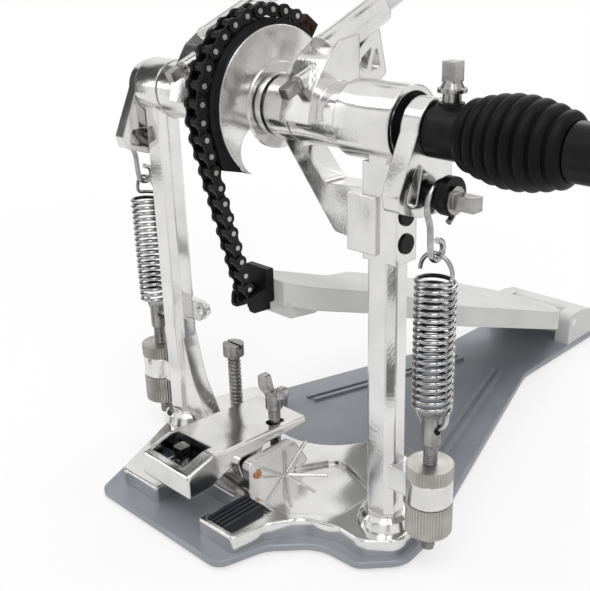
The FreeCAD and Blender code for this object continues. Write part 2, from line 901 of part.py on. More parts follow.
def spring_path():
    """Arcs of one spring about the Z axis: lower hook, turns, upper hook."""
    r = S.spring_radius
    bend = S.hook_bend
    low = S.spring_low
    high = S.spring_high
    turns = int(S.spring_turns)
    rate = (high - low) / (2 * math.pi * turns)
    arcs = []
    foot = low - bend
    # The lower hook is a half circle across the axis, then a bend into the first turn.
    arcs.append((Vector(-r, 0, foot), Vector(0, 0, foot - r), Vector(r, 0, foot)))
    first = Vector(r, bend, low)
    arcs += biarc(Vector(r, 0, foot), Vector(0, 0, 1), first, Vector(0, 1, 0))
    start_angle = math.atan2(bend, r)
    span = 2 * math.pi * turns - 2 * start_angle
    steps = 4 * turns
    before = (first, Vector(0, 1, 0))
    for i in range(1, steps + 1):
        angle = start_angle + span * i / steps
        point = Vector(r * math.cos(angle), r * math.sin(angle), low + (high - low) * i / steps)
        heading = Vector(-r * math.sin(angle), r * math.cos(angle), rate)
        if i == steps:
            point = Vector(r, -bend, high)
            heading = Vector(0, 1, 0)
        heading.normalize()
        arcs += biarc(before[0], before[1], point, heading)
        before = (point, heading)
    top = Vector(r, 0, high + bend)
    arcs += biarc(before[0], before[1], top, Vector(0, 0, 1))
    arcs.append((top, Vector(0, 0, high + bend + r), Vector(-r, 0, high + bend)))
    return arcs


def least_gap(arcs, wire):
    """Clear distance between one turn of the wire and the next."""
    points = [p for arc in arcs for p in arc[:2]]
    skip = 12
    least = min(p.distanceToPoint(q) for i, p in enumerate(points) for q in points[i + skip:])
    return least - 2 * wire


def swept(arcs, wire, heading):
    """Round wire along arcs that follow on from each other."""
    spine = Part.Wire([Part.Arc(*arc).toShape() for arc in arcs])
    section = Part.Wire(Part.makeCircle(wire, arcs[0][0], heading))
    shell = Part.BRepOffsetAPI.MakePipeShell(spine)
    shell.add(section)
    shell.build()
    shell.makeSolid()
    return shell.shape()


def coil_spring(name, side):
    arcs = spring_path()
    print(name, "least gap between turns", round(least_gap(arcs, S.spring_wire), 2))
    thing = feature(name, swept(arcs, S.spring_wire, Vector(0, 0, -1)))
    turn = Rotation(Vector(0, 0, 1), 0 if side > 0 else 180)
    thing.Placement = Placement(Vector(side * S.rod_x, S.rod_y, 0), turn)
    return node(thing)


def around(centre, radius, angle):
    """A point on a circle in the YZ plane, at an angle from +Y towards +Z."""
    turn = math.radians(angle)
    return centre + Vector(0, radius * math.cos(turn), radius * math.sin(turn))


def ring_arcs(centre, radius, angles):
    """Arcs round a centre in the YZ plane, from each angle to the next."""
    arcs = []
    for first, last in zip(angles, angles[1:]):
        arcs.append(tuple(around(centre, radius, a) for a in (first, (first + last) / 2, last)))
    return arcs


def ring_heading(angle):
    return around(Vector(), 1, angle + 90)


def wire_hook(name, side):
    """Bent wire: an open eye round the spool, a stem, and an open loop through the spring's end."""
    inner = S.hook_eye_radius - S.hook_wire
    eye = Vector(0, S.rocker_bolt_y, rocker_bolt_z + S.spool_radius + 0.3 - inner)
    arch_z = S.spring_high + S.hook_bend + S.spring_radius - S.spring_wire
    loop = Vector(0, S.rod_y, arch_z - 0.3 + S.hook_loop_radius - S.hook_wire)
    eye_angles = (-62, 72, 205)
    loop_angles = (190, 310, 385, 455)
    arcs = ring_arcs(eye, S.hook_eye_radius, eye_angles)
    loop_arcs = ring_arcs(loop, S.hook_loop_radius, loop_angles)
    arcs += biarc(arcs[-1][2], ring_heading(eye_angles[-1]), loop_arcs[0][0], ring_heading(loop_angles[0]))
    thing = feature(name, swept(arcs + loop_arcs, S.hook_wire, ring_heading(eye_angles[0])))
    thing.Placement = Placement(Vector(side * S.rod_x, 0, 0), Rotation())
    return node(thing)


# Axles: rockers, hubs, cam and beaters

def rocker(name, side):
    """Fan-shaped lever with a rim at its drum edge and a recess on its outer side."""
    z = S.axle_height
    low = rocker_bolt_z
    outline = [
        (-9, z + 9, 2),
        (-24.5, low + 3, 3),
        (-23, low - 3.5, 3),
        (S.rocker_bolt_y - 8, low - 8, 4),
        (S.rocker_bolt_y + 9, low - 8.5, 6),
        (S.rocker_bolt_y + 13, low + 2, 6),
        (11, z - 4, 2),
    ]
    width = name + "_end - " + name + "_start"
    plate = prism(name + "_plate", "YZ_Plane", outline, name + "_start", width)
    hub = cylinder(name + "_hub", "rocker_hub_radius", width, (name + "_start", "0", "axle_height"), "x")
    recess = [
        (-12.5, z - 12, 1.5),
        (-19.5, low + 2, 2),
        (-18.5, low - 1, 2),
        (-13, low - 3.5, 2),
        (-9.5, z - 14, 1.5),
    ]
    if side < 0:
        recess = [
            (-18.5, low + 6, 2),
            (-20.5, low - 1.5, 2),
            (S.rocker_bolt_y - 7, low - 5, 2),
            (S.rocker_bolt_y + 6, low - 5, 2),
            (S.rocker_bolt_y + 6, low + 6, 2),
        ]
    hollow = prism(name + "_hollow", "YZ_Plane", recess, name + "_end - rocker_recess", "rocker_recess + 1")
    bore = cylinder(name + "_bore", "shaft_radius", width, (name + "_start", "0", "axle_height"), "x")
    hole = cylinder(
        name + "_hole", "rocker_bolt_radius", width,
        (name + "_start", "rocker_bolt_y", rocker_bolt_z), "x",
    )
    return node(cut(name, fuse(name + "_whole", plate, hub), hollow, bore, hole))


def rocker_bolt(name, side, outer):
    """Bolt through the rocker with a washer and a square end."""
    seat = S.disc_gap + S.disc_width
    inner = S.left_rocker_end - S.left_rocker_start
    if side > 0:
        inner = S.right_rocker_end - S.right_rocker_start
    shank = cylinder(name + "_shank", "rocker_bolt_radius", inner + seat, ("0", "0", -inner))
    washer = cylinder(name + "_washer", "washer_radius", "washer_width", ("0", "0", seat))
    square = box(name + "_square", ("key_square", "key_square", "bolt_end"),
                 ("-key_square / 2", "-key_square / 2", seat + S.washer_width))
    bolt = fuse(name, shank, washer, square)
    turn = Rotation(Vector(0, 0, 1), Vector(side, 0, 0))
    bolt.Placement = Placement(Vector(outer, S.rocker_bolt_y, rocker_bolt_z), turn)
    return node(bolt)


def tension_disc(name, side):
    """Black spool on the bolt: a core under the hook's eye and a disc, set off centre, that keeps it on."""
    edge = S.right_rocker_end if side > 0 else -S.left_rocker_start
    start = edge + S.disc_gap if side > 0 else -edge - S.disc_gap - S.disc_width
    disc = cylinder(
        name + "_round", "disc_radius", "disc_width",
        (start, "rocker_bolt_y", rocker_bolt_z + 1.5), "x",
    )
    core_start = edge if side > 0 else -edge - S.disc_gap
    core = cylinder(name + "_core", "spool_radius", "disc_gap",
                    (core_start, "rocker_bolt_y", rocker_bolt_z), "x")
    hole = cylinder(
        name + "_hole", "rocker_bolt_radius", "disc_width + disc_gap",
        (min(start, core_start), "rocker_bolt_y", rocker_bolt_z), "x",
    )
    return node(cut(name, fuse(name + "_spool", disc, core), hole))


def beater_hub(name, side):
    """Clamp collar, block and rod tube in one casting, with a trussed web behind."""
    tube_x = S.left_tube_x if side < 0 else S.right_tube_x
    collar_start = S.left_hub_start if side < 0 else S.right_hub_start
    label = "left_hub" if side < 0 else "right_hub"
    collar = cylinder(name + "_collar", "hub_radius", label + "_end - " + label + "_start",
                      (label + "_start", "0", "axle_height"), "x")
    z = S.axle_height
    brow = S.block_front - 3.4
    block_points = [
        (-S.block_front, z - 2, 0),
        (-brow, z + S.block_top / 3, 8),
        (-brow / 2 + 1, z + S.block_top * 0.74, 8),
        (4, z + S.block_top - 1.5, 3),
        (S.block_back, z + S.block_top, 0),
        (S.block_back, z + 8, 0),
        (S.block_back - 2, z - 2, 0),
    ]
    block = prism(name + "_block", "YZ_Plane", block_points, tube_x - S.block_width / 2, "block_width")
    seat = place_on_rod(-S.hub_screw_seat, S.hub_screw_off, tube_x)
    boss = cylinder(name + "_boss", "key_square * 0.6", "hub_screw_seat")
    slant(boss, seat, along_rod)
    clear = cylinder(name + "_spot_face", "key_square * 0.6", "hub_screw_seat")
    slant(clear, seat, -along_rod)
    tube = cylinder(name + "_tube", "tube_radius", "tube_reach - tube_start + 4")
    slant(tube, place_on_rod(S.tube_start - 4, S.beater_offset, tube_x), along_rod)
    rod_hole = cylinder(name + "_rod_hole", "beater_radius + running_clearance", "2 * tube_reach")
    slant(rod_hole, place_on_rod(S.beater_foot - 1, S.beater_offset, tube_x), along_rod)
    bore = cylinder(name + "_bore", "shaft_radius", label + "_end - " + label + "_start",
                    (label + "_start", "0", "axle_height"), "x")
    split = box(name + "_split", ("block_width / 2", "12", "2.4"),
                (tube_x - S.block_width / 4, "-hub_radius - 4", z - 4.5))
    solid = fuse(name + "_solid", collar, cut(name + "_faced", fuse(name + "_head", block, boss), clear))
    whole = fuse(name + "_whole", solid, tube, hub_truss(name, tube_x))
    return node(cut(name, whole, rod_hole, bore, split))


def shrunk(corners, share):
    """A triangle drawn in towards its centre, with its corners rounded."""
    x = sum(corner[0] for corner in corners) / 3
    z = sum(corner[1] for corner in corners) / 3
    return [(x + (corner[0] - x) * share, z + (corner[1] - z) * share, 0.8) for corner in corners]


def hub_truss(name, tube_x):
    """Web between the collar and the rod tube, opened by two triangles."""
    z = S.axle_height
    rear = about_axle(S.tube_reach - 5, S.beater_offset - 4)
    outline = [(4, z + 12, 0), rear + (0,), (rear[0] + 6, z + 13, 3), (S.block_back - 2, z - 5, 0)]
    web = prism(name + "_web", "YZ_Plane", outline, tube_x - S.web_thickness / 2, "web_thickness")
    first = (S.block_back + 1, z + 18)
    top = (rear[0] - 1, rear[1] - 6)
    last = (rear[0] + 3, z + 15)
    middle = ((first[0] + last[0]) / 2, (first[1] + last[1]) / 2 - 4)
    gaps = []
    for key, corners in (("upper", (first, top, middle)), ("lower", (middle, top, last))):
        gap = prism(name + "_gap_" + key, "YZ_Plane", shrunk(corners, 0.66), tube_x - S.web_thickness,
                    "2 * web_thickness")
        gaps.append(gap)
    return cut(name + "_truss", web, *gaps)


def hub_screw(name, side):
    tube_x = S.left_tube_x if side < 0 else S.right_tube_x
    at = place_on_rod(-S.hub_screw_seat, S.hub_screw_off, tube_x)
    side_length = "key_square * 0.8"
    neck = cylinder(name + "_neck", "key_square * 0.5", "2")
    square = box(name + "_square", (side_length, side_length, "key_length"),
                 ("-key_square * 0.4", "-key_square * 0.4", "1.5"))
    screw = fuse(name, neck, square)
    screw.Placement = Placement(at, Rotation(Vector(0, 0, 1), -along_rod))
    return node(screw)


def beater(name, side):
    tube_x = S.left_tube_x if side < 0 else S.right_tube_x
    rod = cylinder(name + "_rod", "beater_radius", "beater_reach - beater_foot")
    node(slant(rod, place_on_rod(S.beater_foot, S.beater_offset, tube_x), along_rod))
    r = S.head_radius
    half = S.head_length / 2
    profile = [
        (0, -half), (r * 0.55, -half), (r * 0.82, -half * 0.72), (r, -half * 0.2),
        (r, half - 3), (r - 3, half), (0, half),
    ]
    blank = turned(name + "_head_blank", profile, (), "z")
    slant(blank, place_on_rod(S.head_place, S.beater_offset, tube_x), off_rod)
    hole = cylinder(name + "_head_hole", "beater_radius", "2 * head_radius + 4")
    slant(hole, place_on_rod(S.head_place - S.head_radius - 2, S.beater_offset, tube_x), along_rod)
    node(cut(name + "_head", blank, hole))


def shafts():
    node(cylinder("primary_shaft", "shaft_radius", "centre_ring_end - left_rocker_start",
                  ("left_rocker_start", "0", "axle_height"), "x"))
    node(cylinder("secondary_shaft", "shaft_radius", "collar_start - right_hub_start",
                  ("right_hub_start", "0", "axle_height"), "x"))


def polar(radius, angle):
    turn = math.radians(angle)
    return (radius * math.cos(turn), S.axle_height + radius * math.sin(turn))


def sector(label, radius, inner, from_angle, to_angle, offset, width):
    """Part of a ring about the axle, between two angles from +Y towards +Z."""
    middle = (from_angle + to_angle) / 2
    ends = [[Vector(*polar(r, a)) for a in (from_angle, middle, to_angle)] for r in (radius, inner)]
    edges = [
        Part.Arc(*ends[0]),
        Part.LineSegment(ends[0][2], ends[1][2]),
        Part.Arc(*reversed(ends[1])),
        Part.LineSegment(ends[1][0], ends[0][0]),
    ]
    body = doc.addObject("PartDesign::Body", label)
    pad = body.newObject("PartDesign::Pad", label + "_pad")
    pad.Profile = sketch_on(body, "YZ_Plane", edges, offset)
    bind(pad, "Length", width)
    return body


def rim_heel():
    """Lower end of the rim: straight beside the chain, then level to the rim's tip."""
    lean = math.radians(S.chain_lean)
    top = Vector(*polar(S.cam_rim_radius, leave_angle))
    corner = top + Vector(math.sin(lean), -math.cos(lean)) * S.rim_heel
    tip = Vector(*polar(S.rim_heel_radius, S.cam_end))
    return top, corner, tip


def below_cam(name, offset, width):
    """Space under the rim's level lower end."""
    corner, tip = rim_heel()[1:]
    along = tip - corner
    first = corner - along
    last = tip + along
    drop = S.cam_disc_radius
    points = [
        (first.x, first.y, 0),
        (last.x, last.y, 0),
        (last.x, last.y - drop, 0),
        (first.x, first.y - drop, 0),
    ]
    return prism(name, "YZ_Plane", points, offset, width)


def cam_bite(name, clearance):
    """Round bite out of the cam's lower edge."""
    return cylinder(name, "cam_bite + %f" % clearance, "4 * cam_rim_width",
                    ("-2 * cam_rim_width", "cam_bite_y", "axle_height + cam_bite_z"), "x")


def cam_disc(face):
    """Silver disc with a bitten lower edge, on a stepped hub."""
    back = face - S.cam_disc_width
    plate = sector("cam_disc_plate", S.cam_disc_radius, S.shaft_radius + 1, 40, S.cam_end, back,
                   "cam_disc_width")
    bitten = cut("cam_disc_bitten", plate, cam_bite("cam_disc_bite", 0),
                 below_cam("cam_disc_under", back - 1, "cam_disc_width + 2"))
    step = cylinder("cam_step", "cam_collar_radius", "2", (face - 1, "0", "axle_height"), "x")
    hub = cylinder("cam_hub", "cam_hub_radius", "cam_rim_width + 2.5",
                   (face - S.cam_rim_width, "0", "axle_height"), "x")
    bore = cylinder("cam_bore", "shaft_radius", "4 * cam_rim_width",
                    ("-2 * cam_rim_width", "0", "axle_height"), "x")
    return node(cut("cam_disc", fuse("cam_disc_whole", bitten, step, hub), bore))


def cam_rim(face):
    """Black rim that the chain lies on, with a web behind the disc."""
    back = face - S.cam_disc_width
    start = back - S.cam_rim_width
    band = sector("cam_rim_band", S.cam_rim_radius, S.cam_rim_inner, 46, S.cam_end, start, "cam_rim_width")
    inside = [polar(S.cam_rim_inner, 225), polar(S.cam_rim_inner + 2, 205)]
    outline = [(point.x, point.y, 0) for point in rim_heel()] + [point + (0,) for point in inside]
    heel_piece = prism("cam_rim_heel", "YZ_Plane", outline, start, "cam_rim_width")
    web = sector("cam_rim_web", S.cam_rim_inner + 1, S.cam_hub_radius, 60, 200, back - 3, 3)
    whole = fuse("cam_rim_whole", band, heel_piece, web)
    under = below_cam("cam_rim_under", start - 1, "cam_rim_width + 2")
    return node(cut("cam_rim", whole, cam_bite("cam_rim_bite", 0.3), under))


def cam():
    face = S.centre_ring_start - 4.5
    cam_disc(face)
    cam_rim(face)


def link_plate(thickness, start):
    """Figure-eight side plate between two pins on the local Y axis."""
    r = S.chain_plate_radius
    p = S.chain_pitch
    c = r * math.cos(math.radians(50))
    s = r * math.sin(math.radians(50))
    waist = 0.66 * r
    arcs = [
        Part.Arc(Vector(0, c, s), Vector(0, -r, 0), Vector(0, c, -s)),
        Part.Arc(Vector(0, c, -s), Vector(0, p / 2, -waist), Vector(0, p - c, -s)),
        Part.Arc(Vector(0, p - c, -s), Vector(0, p + r, 0), Vector(0, p - c, s)),
        Part.Arc(Vector(0, p - c, s), Vector(0, p / 2, waist), Vector(0, c, s)),
    ]
    face = Part.Face(Part.Wire([arc.toShape() for arc in arcs]))
    solid = face.extrude(Vector(thickness, 0, 0))
    solid.translate(Vector(start, 0, 0))
    return solid


def round_bar(radius, half, y):
    return Part.makeCylinder(radius, 2 * half, Vector(-half, y, 0), Vector(1, 0, 0))


def chain_link(outer):
    """One link along local Y: an outer link carries two pins, an inner link two rollers."""
    inner_face = S.chain_inner_half
    if outer:
        inner_face += S.chain_plate + S.chain_play
    pieces = [link_plate(S.chain_plate, inner_face), link_plate(
        S.chain_plate, -inner_face - S.chain_plate,
    )]
    for y in (0, S.chain_pitch):
        if outer:
            pieces.append(round_bar(S.chain_pin_radius, inner_face + S.chain_plate + 0.4, y))
        else:
            pieces.append(round_bar(S.chain_roller_radius, inner_face, y))
    link = pieces[0].fuse(pieces[1:])
    if not outer:
        for y in (0, S.chain_pitch):
            link = link.cut(round_bar(S.chain_pin_radius + S.running_clearance, 4 * inner_face, y))
    return link.removeSplitter()


def chain_pins():
    """Pins at rest from the toe clamp, up the free run and round the cam."""
    lean = math.radians(S.chain_lean)
    down = Vector(0, math.sin(lean), -math.cos(lean))
    leave = Vector(chain_x(), *polar(S.chain_radius, leave_angle))
    pins = [leave + down * (S.chain_pitch * i) for i in range(int(S.run_links), 0, -1)]
    for i in range(int(S.wrap_links) + 5):
        pins.append(Vector(chain_x(), *polar(S.chain_radius, leave_angle - i * link_angle)))
    return pins


def chain_x():
    return S.centre_ring_start - 4.5 - S.cam_disc_width - S.cam_rim_width / 2


def chain():
    """Links in one node for the free run, four single links that leave the cam, and the rest on it."""
    pins = chain_pins()
    shapes = []
    for i, (low, high) in enumerate(zip(pins, pins[1:])):
        link = chain_link(i % 2 == int(S.run_links - 1) % 2)
        link.Placement = Placement(low, Rotation(Vector(0, 1, 0), high - low))
        shapes.append(link)
    free = int(S.run_links)
    node(feature("chain_run", Part.makeCompound(shapes[:free])))
    for i in range(4):
        node(feature("chain_link_%d" % (i + 1), shapes[free + i]))
    node(feature("chain_wrap", Part.makeCompound(shapes[free + 4:])))
    return pins


def chain_anchor(pins):
    """Brown end link, with two pins, that ties the chain to the cam rim."""
    last = leave_angle - (len(pins) - 1 - S.run_links) * link_angle
    angle = math.radians(last - S.anchor_step * link_angle)
    heading = Vector(0, math.cos(angle), math.sin(angle))
    side = heading.cross(Vector(1, 0, 0))
    half = S.anchor_length / 2
    at = axle + heading * S.cam_rim_radius - side * half
    at += Vector(chain_x() - S.cam_rim_width / 2, 0, 0)
    high = S.chain_radius - S.cam_rim_radius + 3
    block = box("anchor_block", ("cam_rim_width", "anchor_length", high))
    ends = []
    for name, share in (("first", 0.25), ("second", 0.75)):
        at_pin = ("-anchor_pin_proud", "anchor_length * %f" % share, high / 2)
        ends.append(cylinder("anchor_pin_" + name, "chain_pin_radius",
                             "cam_rim_width + 2 * anchor_pin_proud", at_pin, "x"))
    link = fuse("chain_anchor", block, *ends)
    link.Placement = Placement(at, Rotation(Vector(1, 0, 0), side, heading, "XZY"))
    return node(link)


# Footboard, heel and toe clamp

def board_z(y):
    """Height of the footboard's underside above a place along it."""
    return S.hinge_z - S.barrel_radius + 3 + (S.hinge_y - y) * math.tan(board_slope)


def board_top(y):
    return board_z(y) + S.board_thickness / math.cos(board_slope)


def clamp_front(pins):
    """Front of the toe clamp's wall, clear of the chain's last link."""
    return pins[0].y + S.chain_plate_radius + S.chain_gap


def footboard(pins):
    toe = clamp_front(pins) + S.toe_clamp_depth
    back = S.hinge_y - S.barrel_radius - 1.5
    drop = math.cos(board_slope)
    left = S.centre_x
    plan = [
        (left + S.toe_nose, toe, 2),
        (left + S.toe_half_width, toe + S.toe_slope, 4),
        (left + S.toe_half_width, S.flare_start, 25),
        (left + S.board_half_width, S.flare_end, 25),
        (left + S.board_half_width, back - 34, 25),
        (left + S.barrel_length / 2, back, 6),
        (left - S.barrel_length / 2, back, 6),
        (left - S.board_half_width, back - 34, 25),
        (left - S.board_half_width, S.flare_end, 25),
        (left - S.toe_half_width, S.flare_start, 25),
        (left - S.toe_half_width, toe + S.toe_slope, 4),
        (left - S.toe_nose, toe, 2),
    ]
    column = prism("board_column", "XY_Plane", plan, "0", "axle_height")
    thick = S.board_thickness / drop
    slab_points = [
        (toe - 20, board_z(toe - 20), 0),
        (S.hinge_y, board_z(S.hinge_y), 0),
        (S.hinge_y, board_z(S.hinge_y) + thick, 0),
        (toe - 20, board_z(toe - 20) + thick, 0),
    ]
    slab = prism(
        "board_slab", "YZ_Plane", slab_points, "centre_x - board_half_width - 5",
        "2 * board_half_width + 10",
    )
    board = doc.addObject("Part::Common", "board_top")
    board.Base = column
    board.Tool = slab
    hollow_points = [
        (S.flare_end, board_z(S.flare_end) - 5, 0),
        (back - 44, board_z(back - 44) - 5, 0),
        (back - 44, board_z(back - 44) + thick - 5, 4),
        (S.flare_end, board_z(S.flare_end) + thick - 5, 4),
    ]
    hollow = prism(
        "board_hollow", "YZ_Plane", hollow_points, "centre_x - board_half_width + 6",
        "2 * board_half_width - 12",
    )
    start = ("centre_x - barrel_length / 2", "hinge_y", "hinge_z")
    barrel = cylinder("board_barrel", "barrel_radius", "barrel_length", start, "x")
    neck_points = [
        (back - 12, board_z(back - 12) + 1, 0),
        (S.hinge_y, S.hinge_z - 4, 0),
        (S.hinge_y, S.hinge_z + 5, 0),
        (back - 12, board_z(back - 12) + thick - 1, 0),
    ]
    neck = prism("board_neck", "YZ_Plane", neck_points, "centre_x - barrel_length / 2", "barrel_length")
    foot = [
        (toe + 1, board_z(toe) - 7, 2),
        (toe + 22, board_z(toe + 22) - 2, 2),
        (toe + 22, board_z(toe + 22) + 2, 0),
        (toe + 1, board_z(toe + 1) + 2, 0),
    ]
    toe_block = prism(
        "board_toe_block", "YZ_Plane", foot, "centre_x - toe_clamp_width", "2 * toe_clamp_width",
    )
    whole = fuse("board_whole", cut("board_skirt", board, hollow), barrel, neck, toe_block)
    bore = cylinder("board_bore", "hinge_radius + running_clearance", "barrel_length", start, "x")
    return node(cut("footboard", whole, bore))


def toe_clamp(pins):
    """Black clamp at the toe: a wall on the board's end and two cheeks beside the last link."""
    pin = pins[0]
    front = clamp_front(pins)
    back = front + S.toe_clamp_depth
    low = min(board_z(back) + 1, pin.z - 1)
    high = max(board_top(back) + S.toe_rise, pin.z + 7)
    wall = [
        (front, low, 1),
        (back, low, 1),
        (back, high, 1),
        (front, high, 1),
    ]
    start = chain_x() - S.toe_clamp_width / 2
    pieces = [prism("toe_clamp_wall", "YZ_Plane", wall, start, "toe_clamp_width")]
    half = S.chain_inner_half + 2 * S.chain_plate + S.chain_play + 1.2
    cheek = S.toe_clamp_width / 2 - half
    outline = [
        (pin.y - 4.5, pin.z - 4, 3),
        (front + 2, pin.z - 5, 0),
        (front + 2, pin.z + 6.5, 0),
        (pin.y - 3.5, pin.z + 5, 3),
    ]
    for name, offset in (("left", -half - cheek), ("right", half)):
        pieces.append(prism("toe_cheek_" + name, "YZ_Plane", outline, chain_x() + offset, cheek))
    return node(fuse("toe_clamp", *pieces))


def heel():
    """Heel plate with two ears round the hinge pin."""
    half = S.barrel_length / 2 + S.hinge_ear + S.moving_gap
    start = S.hinge_y + S.barrel_radius + 1.5
    profile = [
        (start, plate_top, 0),
        (start + S.heel_length - 3, plate_top, 0),
        (start + S.heel_length - 3, plate_top + 5, 3),
        (start + 16, S.hinge_z + 4, 14),
        (start, S.hinge_z + S.barrel_radius, 3),
    ]
    slab = prism("heel_slab", "YZ_Plane", profile, "centre_x - %f" % half, 2 * half)
    ears = []
    for name, at in (("left", -half), ("right", half - S.hinge_ear)):
        ear = [
            (S.hinge_y - S.barrel_radius, plate_top, 0),
            (start + 4, plate_top, 0),
            (start + 4, S.hinge_z + S.barrel_radius, 0),
            (S.hinge_y - S.barrel_radius, S.hinge_z + S.barrel_radius, S.barrel_radius - 0.5),
        ]
        ears.append(prism("heel_ear_" + name, "YZ_Plane", ear, "centre_x + %f" % at, "hinge_ear"))
    hole = cylinder(
        "heel_pin_hole", "hinge_radius", 2 * half, ("centre_x - %f" % half, "hinge_y", "hinge_z"),
        "x",
    )
    node(cut("heel_plate", fuse("heel_whole", slab, *ears), hole))
    start = ("centre_x - %f" % half, "hinge_y", "hinge_z")
    node(cylinder("hinge_pin", "hinge_radius", 2 * half, start, "x"))


# Hoop clamp and floor spur

def jaw_lugs():
    """Two lugs under the jaw that hold the pivot pin."""
    lugs = []
    half = S.jaw_width / 2
    for name, start in (("left", S.clamp_x - half), ("right", S.clamp_x + half - S.jaw_lug_width)):
        eye = cylinder("jaw_eye_" + name, "jaw_lug_radius", "jaw_lug_width",
                       (start, "jaw_pin_y", "jaw_pin_z"), "x")
        arm = [
            (S.jaw_pin_y - S.jaw_lug_radius, S.jaw_pin_z, 0),
            (S.jaw_pin_y + S.jaw_lug_radius, S.jaw_pin_z, 0),
            (S.jaw_pin_y + 2 * S.jaw_lug_radius, S.jaw_low + 1, 0),
            (S.jaw_pin_y - 1.5 * S.jaw_lug_radius, S.jaw_low + 1, 0),
        ]
        lugs += [eye, prism("jaw_arm_" + name, "YZ_Plane", arm, start, "jaw_lug_width")]
    return lugs


def clamp_jaw():
    nose_top = S.jaw_nose_low + S.jaw_nose_height
    profile = [
        (S.jaw_front, S.jaw_nose_low, 2),
        (S.jaw_front + 14, S.jaw_nose_low, 4),
        (S.jaw_front + 24, S.jaw_low - 5, 4),
        (S.jaw_pin_y - 2, S.jaw_low - 4, 3),
        (S.jaw_pin_y + 8, S.jaw_low, 3),
        (S.jaw_back, S.jaw_low, 1),
        (S.jaw_back, S.jaw_high - 2, 2.5),
        (S.jaw_front + 18, S.jaw_high + 2, 6),
        (S.jaw_front, nose_top, 3),
    ]
    start = "clamp_x - jaw_width / 2"
    blank = prism("jaw_blank", "YZ_Plane", profile, start, "jaw_width")
    doc.recompute()
    ease(blank, 1.5, lambda face: face.BoundBox.XLength < 1e-4)
    floor = nose_top - S.pocket_depth
    pocket = prism(
        "jaw_pocket", "YZ_Plane",
        [(S.jaw_front + 5, floor, 1), (S.jaw_front + 20, floor, 1),
         (S.jaw_front + 24, S.jaw_high + 8, 1), (S.jaw_front + 4, S.jaw_high + 8, 1)],
        "clamp_x - jaw_width * 0.42", "jaw_width * 0.7",
    )
    pin_hole = cylinder("jaw_bore", "jaw_pin_radius + running_clearance", "jaw_width + 4",
                        ("clamp_x - jaw_width / 2 - 2", "jaw_pin_y", "jaw_pin_z"), "x")
    half = S.wing_screw_radius + S.moving_gap
    slot_points = [
        (S.wing_place - half, S.wing_y - half - 2, half - 0.1),
        (S.wing_place + half, S.wing_y - half - 2, half - 0.1),
        (S.wing_place + half, S.wing_y + half + 2, half - 0.1),
        (S.wing_place - half, S.wing_y + half + 2, half - 0.1),
    ]
    screw_hole = prism("jaw_screw_slot", "XY_Plane", slot_points, "jaw_low - 5", "30")
    node(cut("clamp_jaw", fuse("jaw_whole", blank, *jaw_lugs()), pocket, pin_hole, screw_hole))
    seat = Vector(S.clamp_x - 2, S.jaw_front + 13.5, floor)
    node(key_screw("jaw_screw", seat, Rotation(), 2))


def jaw_pin():
    """Copper-coloured pivot pin, its ends a little proud of the casting's walls."""
    reach = "(jaw_width / 2 + jaw_side_gap + jaw_wall + 0.6)"
    start = ("clamp_x - " + reach, "jaw_pin_y", "jaw_pin_z")
    return node(cylinder("jaw_pin", "jaw_pin_radius", "2 * " + reach, start, "x"))


def jaw_pad():
    """Ribbed rubber pad in the tray on the casting's ledge."""
    margin = S.rim_width + S.moving_gap
    front = S.ledge_front + margin
    depth = S.jaw_wall_front - 1 - S.rim_width - S.moving_gap - front
    width = (S.ledge_right - S.ledge_left) * 0.55
    start = S.ledge_left + margin
    low = casting_top - S.tray_depth
    slab = box("jaw_pad_slab", (width, depth, "jaw_pad_thickness"), (start, front, low))
    grooves = []
    for i in range(4):
        x = start + width * (i + 1) / 5 - 0.6
        grooves.append(box("jaw_pad_groove_%d" % i, ("1.2", depth + 2, "2"),
                           (x, front - 1, low + S.jaw_pad_thickness - 1)))
    return node(cut("jaw_pad", slab, *grooves))


def wing_screw():
    low = casting_top + S.moving_gap
    neck = S.jaw_high + S.wing_neck
    stem = cylinder("wing_stem", "wing_screw_radius", neck - low, ("wing_place", "wing_y", low))
    collar = cylinder("wing_collar", "wing_screw_radius + 1.6", "8", ("wing_place", "wing_y", neck - 1))
    top = S.wing_top
    wing_points = [
        (S.wing_place - 4, neck + 5, 0),
        (S.wing_place + 4, neck + 5, 0),
        (S.wing_place + 10, top - 10, 4),
        (S.wing_place + 10, top - 4, 2.4),
        (S.wing_place + 3.5, top - 5, 2.5),
        (S.wing_place + 1.5, neck + 8.5, 1.4),
        (S.wing_place - 1.5, neck + 8.5, 1.4),
        (S.wing_place - 4, top - 1, 2),
        (S.wing_place - 10, top, 3),
        (S.wing_place - 10, top - 9, 4),
    ]
    wing = prism("wing_blade", "XZ_Plane", wing_points, "-wing_y - 2", "4")
    return node(fuse("wing_screw", stem, collar, wing))


def floor_spur():
    thread = cylinder("spur_thread", "spur_radius", "spur_high - spur_head - 5",
                      ("spur_place", "spur_y", "6"))
    tip = turned(
        "spur_tip", [(0, 0), (S.spur_radius, 6 - S.spur_low), (0, 6 - S.spur_low)],
        ("spur_place", "spur_y", "spur_low"), "z",
    )
    head = cylinder("spur_cap", "spur_head_radius", "spur_head",
                    ("spur_place", "spur_y", "spur_high - spur_head"))
    slot = box(
        "spur_slot", ("2 * spur_head_radius + 1", "1.6", "2.5"),
        ("spur_place - spur_head_radius - 0.5", "spur_y - 0.8", "spur_high - 2.2"),
    )
    return node(cut("floor_spur", fuse("spur_whole", thread, tip, head), slot))


# Coupling to the second pedal's drive shaft

